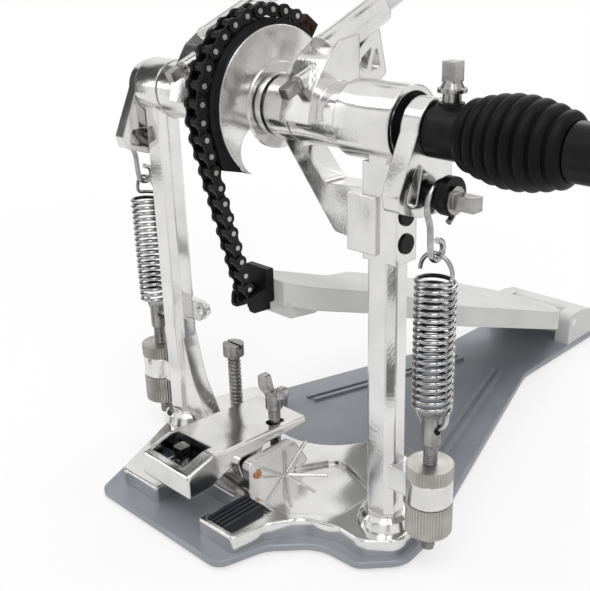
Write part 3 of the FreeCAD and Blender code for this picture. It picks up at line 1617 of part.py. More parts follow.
def prongs(label, start, length, across):
    """Two ears of a fork, one each side of the axle line."""
    pieces = []
    thick = S.prong_outer - S.prong_inner
    for sign in (-1, 1):
        low = S.prong_inner if sign > 0 else -S.prong_outer
        name = "%s_prong_%s" % (label, "low" if sign < 0 else "high")
        if across == "z":
            pieces.append(
                box(name, (length, "prong_width", thick), (start, "-prong_width / 2", S.axle_height + low)),
            )
        else:
            pieces.append(
                box(name, (length, thick, "prong_width"), (start, low, "axle_height - prong_width / 2")),
            )
    return pieces


def coupling():
    length = S.joint_x + 5 - collar_neck_end + 1
    collar = cylinder(
        "collar_body", "collar_radius", "collar_end - collar_start",
        ("collar_start", "0", "axle_height"), "x",
    )
    neck = cylinder("collar_neck", "neck_radius", "neck_length", ("collar_end", "0", "axle_height"), "x")
    fork = prongs("collar", collar_neck_end - 1, length, "z")
    seat_x = (S.collar_start + S.collar_end) / 2 - 1
    boss = cylinder(
        "collar_boss", "key_square * 0.85", "collar_radius + 0.4", (seat_x, "0", "axle_height"),
    )
    whole = fuse("collar_whole", collar, neck, boss, *fork)
    hole = cylinder("collar_pin_hole", "cross_radius + running_clearance", "4 * prong_outer",
                    ("joint_x", "0", S.axle_height - 2 * S.prong_outer), "z")
    node(cut("coupling_collar", whole, hole))
    seat_z = S.axle_height + S.collar_radius + 0.4
    node(key_screw("collar_screw", Vector(seat_x, 0, seat_z), Rotation(), 4))

    half = "cross_block / 2"
    middle = box("cross_middle", ("cross_block", "cross_block", "cross_block"),
                 ("joint_x - " + half, "-" + half, "axle_height - " + half))
    upright = cylinder(
        "cross_upright", "cross_radius", "2 * prong_outer",
        ("joint_x", "0", "axle_height - prong_outer"), "z",
    )
    level = cylinder(
        "cross_level", "cross_radius", "2 * prong_outer",
        ("joint_x", "-prong_outer", "axle_height"), "y",
    )
    node(fuse("coupling_cross", middle, upright, level))

    far_fork = prongs("socket", S.joint_x - 5, length, "y")
    far_neck = cylinder(
        "socket_neck", "neck_radius - moving_gap", "neck_length",
        (far_neck_start, "0", "axle_height"), "x",
    )
    far_body = cylinder(
        "socket_body", "collar_radius", "socket_depth + 4", (far_collar_start, "0", "axle_height"),
        "x",
    )
    far_hole = cylinder("socket_pin_hole", "cross_radius + running_clearance", "4 * prong_outer",
                        ("joint_x", "-2 * prong_outer", "axle_height"), "y")
    bore = cylinder(
        "socket_bore", "socket_radius", "socket_depth + 2",
        (far_collar_start + 4, "0", "axle_height"), "x",
    )
    far_x = far_collar_start + 4 + S.socket_depth / 2
    far_boss = cylinder(
        "socket_boss", "key_square * 0.85", "collar_radius + 0.4", (far_x, "0", "axle_height"),
    )
    far_whole = fuse("socket_whole", far_neck, far_body, far_boss, *far_fork)
    node(cut("drive_socket", far_whole, far_hole, bore))
    node(key_screw("socket_screw", Vector(far_x, 0, seat_z), Rotation(), 4))


def coupling_boot():
    """Ribbed rubber sleeve over the joint, a little fuller in the middle."""
    ribs = int(S.boot_ribs)
    start = S.collar_end + 0.3
    end = far_collar_start - S.moving_gap
    pitch = (end - start) / ribs
    outer = []
    inner = []
    for i in range(ribs):
        for share, crest in ((0.05, 0), (0.32, 1), (0.7, 1), (0.97, 0)):
            along = (i + share) / ribs
            swell = S.boot_swell * math.sin(math.pi * min(max(along, 0), 1))
            radius = S.neck_radius + S.boot_wall + swell + crest * S.rib_depth
            x = start + (i + share) * pitch
            outer.append((x, radius))
            inner.append((x, radius - S.boot_wall))

    def circles(profile):
        rings = [Part.makeCircle(r, axle + Vector(x, 0, 0), Vector(1, 0, 0)) for x, r in profile]
        return [Part.Wire(ring) for ring in rings]

    skin = Part.makeLoft(circles(outer), True, True)
    hollow = Part.makeLoft(circles(inner), True, True)
    return node(feature("coupling_boot", skin.cut(hollow)))


def export_nodes():
    doc.recompute()
    bad = {"Invalid", "Error"}
    failed = [o.Label + " " + o.getStatusString() for o in doc.Objects if bad & set(o.State)]
    if failed:
        raise RuntimeError("failed objects: " + ", ".join(failed))
    for thing in nodes:
        if thing.Shape.isNull() or not thing.Shape.isValid() or thing.Shape.Volume <= 0:
            raise RuntimeError("bad shape: " + thing.Label)
    os.makedirs("parts", exist_ok=True)
    for thing in nodes:
        thing.Shape.exportStep("parts/%s.step" % thing.Label)
    print(len(nodes), "nodes written")


base_plate()
floor_pad()
toe_casting()
left_post()
right_post()
bearing_bracket()
bracket_bolts()
bearings()
bearing_seal()
for end, side in (("left", -1), ("right", 1)):
    deep_nut(end + "_tension_nut", side)
    coil_spring(end + "_spring", side)
    wire_hook(end + "_hook", side)
    rocker(end + "_rocker", side)
    outer_face = S.left_rocker_start if side < 0 else S.right_rocker_end
    rocker_bolt(end + "_rocker_bolt", side, outer_face)
    tension_disc(end + "_disc", side)
tension_rods()
lock_nuts()
shafts()
for axle_name, side in (("primary", -1), ("secondary", 1)):
    beater_hub(axle_name + "_hub", side)
    hub_screw(axle_name + "_hub_screw", side)
    beater(axle_name + "_beater", side)
cam()
chain_points = chain()
chain_anchor(chain_points)
footboard(chain_points)
toe_clamp(chain_points)
heel()
clamp_jaw()
jaw_pin()
jaw_pad()
wing_screw()
floor_spur()
coupling()
coupling_boot()
export_nodes()
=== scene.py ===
import json
import math

import bpy
from mathutils import Matrix, Vector


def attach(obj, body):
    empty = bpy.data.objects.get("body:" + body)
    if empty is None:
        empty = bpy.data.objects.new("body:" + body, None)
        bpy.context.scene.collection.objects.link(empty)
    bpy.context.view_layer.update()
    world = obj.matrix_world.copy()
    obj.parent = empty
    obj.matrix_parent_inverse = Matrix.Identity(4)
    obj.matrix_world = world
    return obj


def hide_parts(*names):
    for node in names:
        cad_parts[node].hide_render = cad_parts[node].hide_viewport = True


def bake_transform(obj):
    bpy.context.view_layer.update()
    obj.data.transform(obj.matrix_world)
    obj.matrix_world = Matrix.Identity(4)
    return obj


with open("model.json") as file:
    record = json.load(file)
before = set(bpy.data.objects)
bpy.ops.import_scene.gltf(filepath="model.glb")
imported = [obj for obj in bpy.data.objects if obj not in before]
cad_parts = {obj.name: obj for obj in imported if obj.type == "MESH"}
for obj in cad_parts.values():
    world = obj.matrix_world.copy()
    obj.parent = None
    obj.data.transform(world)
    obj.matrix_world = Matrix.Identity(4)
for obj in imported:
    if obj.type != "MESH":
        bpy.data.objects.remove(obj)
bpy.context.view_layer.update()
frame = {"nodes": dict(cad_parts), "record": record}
nodes = frame["nodes"]
mm = 0.001
print("frame loaded:", len(nodes), "nodes")

# camera, set where the photograph was taken from
photoView = {
    "place": (0.31596, -0.2942, 0.2820),
    "azimuth": 42.65,
    "elevation": 22.05,
    "roll": -0.53,
    "lens": 54.93,
    "shiftX": -0.084,
    "shiftY": 0.0125,
    "sensor": 36,
    "nearClip": 0.01,
}


def setCamera(view):
    data = bpy.data.cameras.new("photoCamera")
    data.lens = view["lens"]
    data.sensor_width = view["sensor"]
    data.shift_x = view["shiftX"]
    data.shift_y = view["shiftY"]
    data.clip_start = view["nearClip"]
    camera = bpy.data.objects.new("photoCamera", data)
    bpy.context.scene.collection.objects.link(camera)
    turn = math.radians(view["azimuth"])
    tilt = math.radians(view["elevation"])
    level = math.cos(tilt)
    ahead = Vector((-math.sin(turn) * level, math.cos(turn) * level, -math.sin(tilt)))
    right = Vector((math.cos(turn), math.sin(turn), 0))
    up = right.cross(ahead)
    basis = Matrix((right, up, -ahead)).transposed()
    roll = Matrix.Rotation(math.radians(view["roll"]), 3, "Z")
    camera.matrix_world = Matrix.Translation(view["place"]) @ (basis @ roll).to_4x4()
    bpy.context.scene.camera = camera


setCamera(photoView)
bpy.context.scene.view_settings.view_transform = "Standard"
print("camera set")


# shader helpers
bevelSamples = 4


def newFinish(name):
    material = bpy.data.materials.new(name)
    material.use_nodes = True
    tree = material.node_tree
    return material, tree, tree.nodes["Principled BSDF"]


def addNode(tree, kind, **values):
    node = tree.nodes.new(kind)
    for key, value in values.items():
        if key in node.inputs:
            node.inputs[key].default_value = value
        else:
            setattr(node, key, value)
    return node


def objectPlace(tree, scale=(1, 1, 1), turn=(0, 0, 0)):
    coords = addNode(tree, "ShaderNodeTexCoord")
    mapping = addNode(tree, "ShaderNodeMapping", Scale=scale, Rotation=turn)
    tree.links.new(coords.outputs["Object"], mapping.inputs["Vector"])
    return mapping.outputs["Vector"]


def noiseAt(tree, place, scale, detail, rough):
    noise = addNode(tree, "ShaderNodeTexNoise", Scale=scale, Detail=detail, Roughness=rough)
    tree.links.new(place, noise.inputs["Vector"])
    return noise.outputs["Fac"]


def rampOf(tree, value, stops):
    ramp = addNode(tree, "ShaderNodeValToRGB")
    elements = ramp.color_ramp.elements
    while len(elements) < len(stops):
        elements.new(0.5)
    for element, (place, colour) in zip(elements, stops):
        element.position = place
        element.color = (*colour, 1.0)
    tree.links.new(value, ramp.inputs["Fac"])
    return ramp.outputs["Color"]


def rangeOf(tree, value, low, high):
    span = addNode(tree, "ShaderNodeMapRange")
    span.inputs["To Min"].default_value = low
    span.inputs["To Max"].default_value = high
    tree.links.new(value, span.inputs["Value"])
    return span.outputs["Result"]


def softEdge(tree, radius):
    bevel = addNode(tree, "ShaderNodeBevel", Radius=radius)
    bevel.samples = bevelSamples
    return bevel.outputs["Normal"]


def edgeWearAndHighlight(tree, radius, low=0.02, high=0.25):
    # how far the rounded normal leans from the flat one marks the edges, which turn paler: wear, and on
    # the grey plate's ridges and rim partly painted highlight
    bevel = addNode(tree, "ShaderNodeBevel", Radius=radius)
    bevel.samples = bevelSamples
    geometry = addNode(tree, "ShaderNodeNewGeometry")
    dot = addNode(tree, "ShaderNodeVectorMath", operation="DOT_PRODUCT")
    tree.links.new(bevel.outputs["Normal"], dot.inputs[0])
    tree.links.new(geometry.outputs["Normal"], dot.inputs[1])
    lean = addNode(tree, "ShaderNodeMath", operation="SUBTRACT")
    lean.inputs[0].default_value = 1.0
    tree.links.new(dot.outputs["Value"], lean.inputs[1])
    span = addNode(tree, "ShaderNodeMapRange")
    span.inputs["From Min"].default_value = low
    span.inputs["From Max"].default_value = high
    tree.links.new(lean.outputs["Value"], span.inputs["Value"])
    return span.outputs["Result"]


def bumpOf(tree, height, strength, distance, normal=None):
    bump = addNode(tree, "ShaderNodeBump", Strength=strength, Distance=distance)
    tree.links.new(height, bump.inputs["Height"])
    if normal is not None:
        tree.links.new(normal, bump.inputs["Normal"])
    return bump.outputs["Normal"]


def mixColour(tree, share, first, second):
    mix = addNode(tree, "ShaderNodeMix", data_type="RGBA")
    tree.links.new(share, mix.inputs["Factor"])
    for socket, value in ((mix.inputs[6], first), (mix.inputs[7], second)):
        if isinstance(value, tuple):
            socket.default_value = (*value, 1.0)
        else:
            tree.links.new(value, socket)
    return mix.outputs[2]


# every metal finish is one of these, in sizes of metres
metalFinishes = {
    "polishedCasting": {
        "dark": (0.62, 0.615, 0.605), "light": (0.80, 0.795, 0.78), "rough": (0.09, 0.20),
        "cloud": 26.0, "grain": 700.0, "bump": 0.10, "lift": 0.0004, "edge": 0.0011,
        "swell": (24.0, 0.0035),
    },
    "chromeSteel": {
        "dark": (0.54, 0.54, 0.55), "light": (0.72, 0.72, 0.73), "rough": (0.05, 0.14),
        "cloud": 60.0, "grain": 1500.0, "bump": 0.05, "lift": 0.0002, "edge": 0.0004,
        "swell": (40.0, 0.0006),
    },
    "springSteel": {
        "dark": (0.32, 0.32, 0.325), "light": (0.58, 0.58, 0.58), "rough": (0.12, 0.24),
        "cloud": 120.0, "grain": 2200.0, "bump": 0.06, "lift": 0.0001, "edge": 0.0002,
        "swell": (60.0, 0.0),
    },
    "nickelKnurl": {
        "dark": (0.36, 0.345, 0.32), "light": (0.53, 0.51, 0.48), "rough": (0.34, 0.50),
        "cloud": 90.0, "grain": 2600.0, "bump": 0.10, "lift": 0.0001, "edge": 0.0003,
        "swell": (60.0, 0.0),
    },
    "threadSteel": {
        "dark": (0.22, 0.215, 0.21), "light": (0.42, 0.41, 0.40), "rough": (0.22, 0.38),
        "cloud": 150.0, "grain": 2400.0, "bump": 0.10, "lift": 0.0001, "edge": 0.0002,
        "swell": (60.0, 0.0),
    },
    "screwNickel": {
        "dark": (0.26, 0.255, 0.25), "light": (0.46, 0.45, 0.44), "rough": (0.14, 0.30),
        "cloud": 150.0, "grain": 2200.0, "bump": 0.08, "lift": 0.0001, "edge": 0.0007,
        "swell": (90.0, 0.0004),
    },
    "copperScrew": {
        "dark": (0.46, 0.22, 0.11), "light": (0.72, 0.42, 0.25), "rough": (0.22, 0.40),
        "cloud": 200.0, "grain": 2600.0, "bump": 0.08, "lift": 0.0001, "edge": 0.0003,
        "swell": (60.0, 0.0),
    },
    "brownLink": {
        "dark": (0.022, 0.013, 0.009), "light": (0.065, 0.038, 0.024), "rough": (0.30, 0.48),
        "cloud": 160.0, "grain": 2200.0, "bump": 0.12, "lift": 0.0001, "edge": 0.0004,
        "swell": (60.0, 0.0),
    },
}


# marks of hands and cloth run along the upright pieces
smearLook = {"stretch": (1, 1, 0.2), "finer": 3, "detail": 5.0, "rough": 0.6}


def metalFinish(name, secondTone=None):
    look = metalFinishes[name if secondTone is None else secondTone["base"]]
    material, tree, shader = newFinish(name)
    place = objectPlace(tree)
    cloud = noiseAt(tree, place, look["cloud"], detail=4.0, rough=0.55)
    grain = noiseAt(tree, place, look["grain"], detail=2.0, rough=0.6)
    colour = rampOf(tree, cloud, [(0.3, look["dark"]), (0.7, look["light"])])
    # the second tone is the pin's own grey middle, and painted shade in the jaw's pocket and on the
    # springs' inner side
    if secondTone is not None:
        second = rampOf(tree, cloud, [(0.3, secondTone["dark"]), (0.7, secondTone["light"])])
        share = insideBox(tree, secondTone["box"]) if "box" in secondTone else coilInnerShade(tree, secondTone["coil"])
        colour = mixColour(tree, share, colour, second)
    tree.links.new(colour, shader.inputs["Base Color"])
    streak = objectPlace(tree, smearLook["stretch"])
    fine = look["cloud"] * smearLook["finer"]
    smear = noiseAt(tree, streak, fine, smearLook["detail"], smearLook["rough"])
    tree.links.new(rangeOf(tree, smear, *look["rough"]), shader.inputs["Roughness"])
    shader.inputs["Metallic"].default_value = 1.0
    scale, height = look["swell"]
    wave = noiseAt(tree, place, scale, detail=1.0, rough=0.4)
    normal = bumpOf(tree, wave, 1.0, height, softEdge(tree, look["edge"]))
    tree.links.new(bumpOf(tree, grain, look["bump"], look["lift"], normal), shader.inputs["Normal"])
    return material


def insideBox(tree, box):
    # 1 inside a box of object places, 0 outside it
    axes = addNode(tree, "ShaderNodeSeparateXYZ")
    tree.links.new(objectPlace(tree), axes.inputs["Vector"])
    total = None
    for axis, low, high in zip("XYZ", *box):
        for operation, bound in (("GREATER_THAN", low), ("LESS_THAN", high)):
            side = addNode(tree, "ShaderNodeMath", operation=operation)
            side.inputs[1].default_value = bound * mm
            tree.links.new(axes.outputs[axis], side.inputs[0])
            if total is None:
                total = side.outputs["Value"]
                continue
            both = addNode(tree, "ShaderNodeMath", operation="MULTIPLY")
            tree.links.new(total, both.inputs[0])
            tree.links.new(side.outputs["Value"], both.inputs[1])
            total = both.outputs["Value"]
    return total


def coilInnerShade(tree, coil):
    # painted shade: 1 on the side of the spring wire that looks at the coil's axis, fading to 0 on its
    # outer side
    axes = addNode(tree, "ShaderNodeSeparateXYZ")
    tree.links.new(objectPlace(tree), axes.inputs["Vector"])
    across = addNode(tree, "ShaderNodeMath", operation="ABSOLUTE")
    tree.links.new(axes.outputs["X"], across.inputs[0])
    flat = addNode(tree, "ShaderNodeCombineXYZ")
    sides = ((across.outputs["Value"], "X", coil["x"]), (axes.outputs["Y"], "Y", coil["y"]))
    for source, socket, middle in sides:
        apart = addNode(tree, "ShaderNodeMath", operation="SUBTRACT")
        apart.inputs[1].default_value = middle * mm
        tree.links.new(source, apart.inputs[0])
        tree.links.new(apart.outputs["Value"], flat.inputs[socket])
    reach = addNode(tree, "ShaderNodeVectorMath", operation="LENGTH")
    tree.links.new(flat.outputs["Vector"], reach.inputs[0])
    fade = addNode(tree, "ShaderNodeMapRange")
    fade.inputs["From Min"].default_value = coil["outer"] * mm
    fade.inputs["From Max"].default_value = coil["inner"] * mm
    tree.links.new(reach.outputs["Value"], fade.inputs["Value"])
    coiled = addNode(tree, "ShaderNodeMath", operation="MULTIPLY")
    tree.links.new(fade.outputs["Result"], coiled.inputs[0])
    tree.links.new(insideBox(tree, coil["box"]), coiled.inputs[1])
    return coiled.outputs["Value"]


# some pieces carry a second tone
# these are the jaw's deep pocket and the inside of the springs, both painted dark as painted shade, and
# the bright middle of its pin, which is the pin's own colour
twoTonesAndPaintedShade = {
    # the jaw's deep pocket is painted near-black: painted shade in the recess
    "jawCastingPocketShade": {
        "base": "polishedCasting", "dark": (0.03, 0.035, 0.05), "light": (0.10, 0.11, 0.14),
        "box": ((-33.6, -63.4, 25.0), (-7.7, -45.0, 35.2)),
    },
    "copperEnds": {
        "base": "copperScrew", "dark": (0.30, 0.30, 0.30), "light": (0.48, 0.48, 0.48),
        "box": ((-43.0, -40.0, 10.0), (7.2, -10.0, 30.0)),
    },
    # the inner side of the spring wire is painted near-black: painted shade
    "springWireInnerShade": {
        "base": "springSteel", "dark": (0.02, 0.02, 0.021), "light": (0.06, 0.06, 0.062),
        "coil": {
            "x": 102.0, "y": -4.6, "outer": 8.9, "inner": 8.1,
            "box": ((-150, -50, 86.5), (150, 50, 148)),
        },
    },
}


# painted and moulded finishes
coatFinishes = {
    # the grey plate's paler ridges and rim are partly wear and partly painted highlight
    "greyPlatePaint": {
        "dark": (0.256, 0.271, 0.307), "light": (0.335, 0.352, 0.39), "rough": (0.34, 0.50),
        "metal": 0.35, "cloud": 22.0, "grain": 1400.0, "bump": 0.12, "lift": 0.0003, "edge": 0.0006,
        "worn": (0.62, 0.63, 0.66), "wearAndHighlight": 0.75, "shine": 0.5,
    },
    "silverBoard": {
        "dark": (0.56, 0.56, 0.552), "light": (0.67, 0.67, 0.66), "rough": (0.46, 0.60),
        "metal": 0.15, "cloud": 18.0, "grain": 1100.0, "bump": 0.14, "lift": 0.0003, "edge": 0.0012,
        "worn": (0.80, 0.80, 0.80), "wearAndHighlight": 0.3, "shine": 0.35,
    },
    "blackSteel": {
        "dark": (0.004, 0.004, 0.0045), "light": (0.010, 0.010, 0.0105), "rough": (0.24, 0.40),
        "metal": 0.0, "cloud": 140.0, "grain": 2400.0, "bump": 0.10, "lift": 0.0001, "edge": 0.0003,
        "worn": (0.05, 0.05, 0.052), "wearAndHighlight": 0.35, "shine": 0.16,
    },
    "blackRubber": {
        "dark": (0.003, 0.003, 0.003), "light": (0.007, 0.007, 0.0075), "rough": (0.36, 0.52),
        "metal": 0.0, "cloud": 60.0, "grain": 1800.0, "bump": 0.16, "lift": 0.0001, "edge": 0.0003,
        "worn": (0.014, 0.014, 0.014), "wearAndHighlight": 0.2, "shine": 0.12,
    },
    "trayRubber": {
        "dark": (0.007, 0.008, 0.013), "light": (0.020, 0.023, 0.034), "rough": (0.22, 0.40),
        "metal": 0.0, "cloud": 60.0, "grain": 1800.0, "bump": 0.12, "lift": 0.0001, "edge": 0.0004,
        "worn": (0.06, 0.066, 0.08), "wearAndHighlight": 0.4, "shine": 0.4,
    },
}


def coatFinish(name):
    look = coatFinishes[name]
    material, tree, shader = newFinish(name)
    place = objectPlace(tree)
    cloud = noiseAt(tree, place, look["cloud"], detail=5.0, rough=0.6)
    grain = noiseAt(tree, place, look["grain"], detail=2.0, rough=0.6)
    colour = rampOf(tree, cloud, [(0.3, look["dark"]), (0.7, look["light"])])
    # edges mix towards the worn colour: wear, and on the grey plate partly painted highlight
    wearAndHighlight = addNode(tree, "ShaderNodeMath", operation="MULTIPLY")
    tree.links.new(edgeWearAndHighlight(tree, look["edge"]), wearAndHighlight.inputs[0])
    wearAndHighlight.inputs[1].default_value = look["wearAndHighlight"]
    worn = mixColour(tree, wearAndHighlight.outputs["Value"], colour, look["worn"])
    tree.links.new(worn, shader.inputs["Base Color"])
    smear = noiseAt(tree, place, look["cloud"] * 4, detail=4.0, rough=0.6)
    tree.links.new(rangeOf(tree, smear, *look["rough"]), shader.inputs["Roughness"])
    shader.inputs["Metallic"].default_value = look["metal"]
    shader.inputs["Specular IOR Level"].default_value = look["shine"]
    normal = bumpOf(tree, grain, look["bump"], look["lift"], softEdge(tree, look["edge"]))
    tree.links.new(normal, shader.inputs["Normal"])
    return material


# felt of the beater heads
feltLook = {
    "pale": (0.80, 0.78, 0.73), "deep": (0.62, 0.60, 0.55), "fibre": 420.0, "clump": 70.0,
    "stretch": (1, 2.2, 0.8), "lean": (0.4, 0.2, 0.9),
    "rough": 0.92, "sheen": 0.35, "bump": 0.6, "lift": 0.0006,
}


def feltFinish(look):
    material, tree, shader = newFinish("beaterFelt")
    place = objectPlace(tree)
    strand = objectPlace(tree, look["stretch"], look["lean"])
    fibre = noiseAt(tree, strand, look["fibre"], detail=6.0, rough=0.7)
    clump = noiseAt(tree, place, look["clump"], detail=4.0, rough=0.6)
    share = addNode(tree, "ShaderNodeMath", operation="MULTIPLY")
    tree.links.new(fibre, share.inputs[0])
    tree.links.new(clump, share.inputs[1])
    colour = rampOf(tree, share.outputs["Value"], [(0.14, look["deep"]), (0.38, look["pale"])])
    tree.links.new(colour, shader.inputs["Base Color"])
    shader.inputs["Roughness"].default_value = look["rough"]
    shader.inputs["Sheen Weight"].default_value = look["sheen"]
    normal = bumpOf(tree, share.outputs["Value"], look["bump"], look["lift"])
    tree.links.new(normal, shader.inputs["Normal"])
    return material


# black chain plates, with the ends of the pins left bright
chainLook = {
    "middle": -4.5 * mm, "pinEnd": 4.6 * mm, "edge": 0.25 * mm,
    "plate": (0.005, 0.005, 0.0055), "worn": (0.018, 0.018, 0.019), "pin": (0.46, 0.45, 0.43),
    "oil": 190.0, "rough": (0.20, 0.36), "shine": 0.17,
}


def chainFinish(look):
    material, tree, shader = newFinish("chainSteel")
    place = objectPlace(tree)
    cloud = noiseAt(tree, place, look["oil"], detail=4.0, rough=0.6)
    plate = rampOf(tree, cloud, [(0.35, look["plate"]), (0.75, look["worn"])])
    axes = addNode(tree, "ShaderNodeSeparateXYZ")
    tree.links.new(place, axes.inputs["Vector"])
    apart = addNode(tree, "ShaderNodeMath", operation="SUBTRACT")
    apart.inputs[1].default_value = look["middle"]
    tree.links.new(axes.outputs["X"], apart.inputs[0])
    reach = addNode(tree, "ShaderNodeMath", operation="ABSOLUTE")
    tree.links.new(apart.outputs["Value"], reach.inputs[0])
    bare = addNode(tree, "ShaderNodeMath", operation="GREATER_THAN")
    bare.inputs[1].default_value = look["pinEnd"]
    tree.links.new(reach.outputs["Value"], bare.inputs[0])
    colour = mixColour(tree, bare.outputs["Value"], plate, look["pin"])
    tree.links.new(colour, shader.inputs["Base Color"])
    tree.links.new(bare.outputs["Value"], shader.inputs["Metallic"])
    shader.inputs["Specular IOR Level"].default_value = look["shine"]
    tree.links.new(rangeOf(tree, cloud, *look["rough"]), shader.inputs["Roughness"])
    tree.links.new(softEdge(tree, look["edge"]), shader.inputs["Normal"])
    return material


finishes = {name: metalFinish(name) for name in metalFinishes}
finishes.update({name: metalFinish(name, look) for name, look in twoTonesAndPaintedShade.items()})
finishes.update({name: coatFinish(name) for name in coatFinishes})
finishes["beaterFelt"] = feltFinish(feltLook)
finishes["chainSteel"] = chainFinish(chainLook)
slotFinish = {
    "plate": "greyPlatePaint", "floor_rubber": "blackRubber", "casting": "polishedCasting",
    "steel": "chromeSteel", "nuts": "nickelKnurl", "board": "silverBoard", "black_metal": "blackSteel",
    "brown_metal": "brownLink", "black_rubber": "blackRubber", "copper": "copperScrew",
    "felt": "beaterFelt",
}
# pieces that differ from the rest of their slot
nodeFinish = {
    "tension_rods": "threadSteel", "floor_spur": "threadSteel", "clamp_jaw": "jawCastingPocketShade",
    "jaw_pin": "copperEnds", "jaw_pad": "trayRubber",
}
for name in nodes:
    if "screw" in name or name.endswith("rocker_bolt"):
        nodeFinish[name] = "screwNickel"
    if name.endswith("_hook"):
        nodeFinish[name] = "springSteel"
    if name.startswith("chain_") and name != "chain_anchor":
        nodeFinish[name] = "chainSteel"
for part in frame["record"]["subparts"]:
    solid = nodes[part["node"]]
    finish = finishes[nodeFinish.get(part["node"], slotFinish[part["material_slot"]])]
    solid.data.materials.clear()
    solid.data.materials.append(finish)
print("finishes on the solids:", len(finishes))


# geometry node helpers
def newTree(name, inputs):
    tree = bpy.data.node_groups.new(name, "GeometryNodeTree")
    tree.interface.new_socket("Geometry", in_out="INPUT", socket_type="NodeSocketGeometry")
    for label, kind in inputs:
        tree.interface.new_socket(label, in_out="INPUT", socket_type="NodeSocket" + kind)
    tree.interface.new_socket("Geometry", in_out="OUTPUT", socket_type="NodeSocketGeometry")
    entry = tree.nodes.new("NodeGroupInput")
    leave = tree.nodes.new("NodeGroupOutput")
    return tree, entry, leave


def runTree(name, base, tree, values, finish):
    # values go in by identifier before the first evaluation, and the result becomes a plain mesh
    holder = bpy.data.objects.new(name + "Source", base)
    bpy.context.scene.collection.objects.link(holder)
    modifier = holder.modifiers.new("nodes", "NODES")
    modifier.node_group = tree
    ids = {item.name: item.identifier for item in tree.interface.items_tree if item.in_out == "INPUT"}
    for label, value in values.items():
        modifier[ids[label]] = value
    bpy.context.view_layer.update()
    graph = bpy.context.evaluated_depsgraph_get()
    mesh = bpy.data.meshes.new_from_object(holder.evaluated_get(graph))
    holder.modifiers.remove(modifier)
    bpy.data.objects.remove(holder)
    mesh.name = name
    piece = bpy.data.objects.new(name, mesh)
    bpy.context.scene.collection.objects.link(piece)
    mesh.materials.clear()
    mesh.materials.append(finish)
    return piece


def endTree(tree, leave, geometry, finishSocket):
    realize = tree.nodes.new("GeometryNodeRealizeInstances")
    paint = tree.nodes.new("GeometryNodeSetMaterial")
    tree.links.new(geometry, realize.inputs["Geometry"])
    tree.links.new(realize.outputs["Geometry"], paint.inputs["Geometry"])
    tree.links.new(finishSocket, paint.inputs["Material"])
    tree.links.new(paint.outputs["Geometry"], leave.inputs["Geometry"])


def pathCurve(name, points):
    curve = bpy.data.curves.new(name, "CURVE")
    curve.dimensions = "3D"
    spline = curve.splines.new("POLY")
    spline.points.add(len(points) - 1)
    for place, point in zip(spline.points, points):
        place.co = (*point, 1.0)
    return curve


def wireTree():
    inputs = [("Wire Radius", "Float"), ("Sides", "Int"), ("Finish", "Material")]
    tree, entry, leave = newTree("wireAlongPath", inputs)
    circle = tree.nodes.new("GeometryNodeCurvePrimitiveCircle")
    sweep = tree.nodes.new("GeometryNodeCurveToMesh")
    sweep.inputs["Fill Caps"].default_value = True
    smooth = tree.nodes.new("GeometryNodeSetShadeSmooth")
    tree.links.new(entry.outputs["Wire Radius"], circle.inputs["Radius"])
    tree.links.new(entry.outputs["Sides"], circle.inputs["Resolution"])
    tree.links.new(entry.outputs["Geometry"], sweep.inputs["Curve"])
    tree.links.new(circle.outputs["Curve"], sweep.inputs["Profile Curve"])
    tree.links.new(sweep.outputs["Mesh"], smooth.inputs["Geometry"])
    endTree(tree, leave, smooth.outputs["Geometry"], entry.outputs["Finish"])
    return tree


wireNodes = wireTree()

# return springs, each one unbroken wire with a hook at both ends
springLook = {
    "x": 102.0, "y": -4.6, "radius": 8.5, "wire": 1.0, "low": 86.0, "high": 148.0, "turns": 19,
    "bend": 2.5, "perTurn": 32, "sides": 10, "hookSteps": 24, "bendSteps": 8,
}


def springPoints(look, side):
    r = look["radius"]
    bend = look["bend"]
    hookSteps = look["hookSteps"]
    bendSteps = look["bendSteps"]
    rise = look["high"] - look["low"]
    points = []
    foot = look["low"] - bend
    for i in range(hookSteps + 1):
        a = math.pi + math.pi * i / hookSteps
        points.append((r * math.cos(a), 0.0, foot + r * math.sin(a)))
    for i in range(1, bendSteps):
        a = math.pi / 2 * i / bendSteps
        points.append((r, bend * (1 - math.cos(a)), foot + bend * math.sin(a)))
    start = math.atan2(bend, r)
    count = look["perTurn"] * look["turns"]
    span = 2 * math.pi * look["turns"] - 2 * start
    for i in range(count + 1):
        a = start + span * i / count
        points.append((r * math.cos(a), r * math.sin(a), look["low"] + rise * i / count))
    head = look["high"] + bend
    for i in range(1, bendSteps + 1):
        a = math.pi / 2 * i / bendSteps
        points.append((r, -bend * (1 - math.sin(a)), head - bend * math.cos(a)))
    for i in range(1, hookSteps + 1):
        a = math.pi * i / hookSteps
        points.append((r * math.cos(a), 0.0, head + r * math.sin(a)))
    middle = side * look["x"]
    return [((middle + side * x) * mm, (look["y"] + side * y) * mm, z * mm) for x, y, z in points]


for side, name in ((-1, "left"), (1, "right")):
    path = pathCurve(name + "SpringPath", springPoints(springLook, side))
    # this finish carries painted shade on the inner side of the wire
    finish = finishes["springWireInnerShade"]
    values = {"Wire Radius": springLook["wire"] * mm, "Sides": springLook["sides"], "Finish": finish}
    spring = runTree(name + "Spring", path, wireNodes, values, finish)
    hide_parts(name + "_spring")
    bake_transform(spring)
print("springs wound")


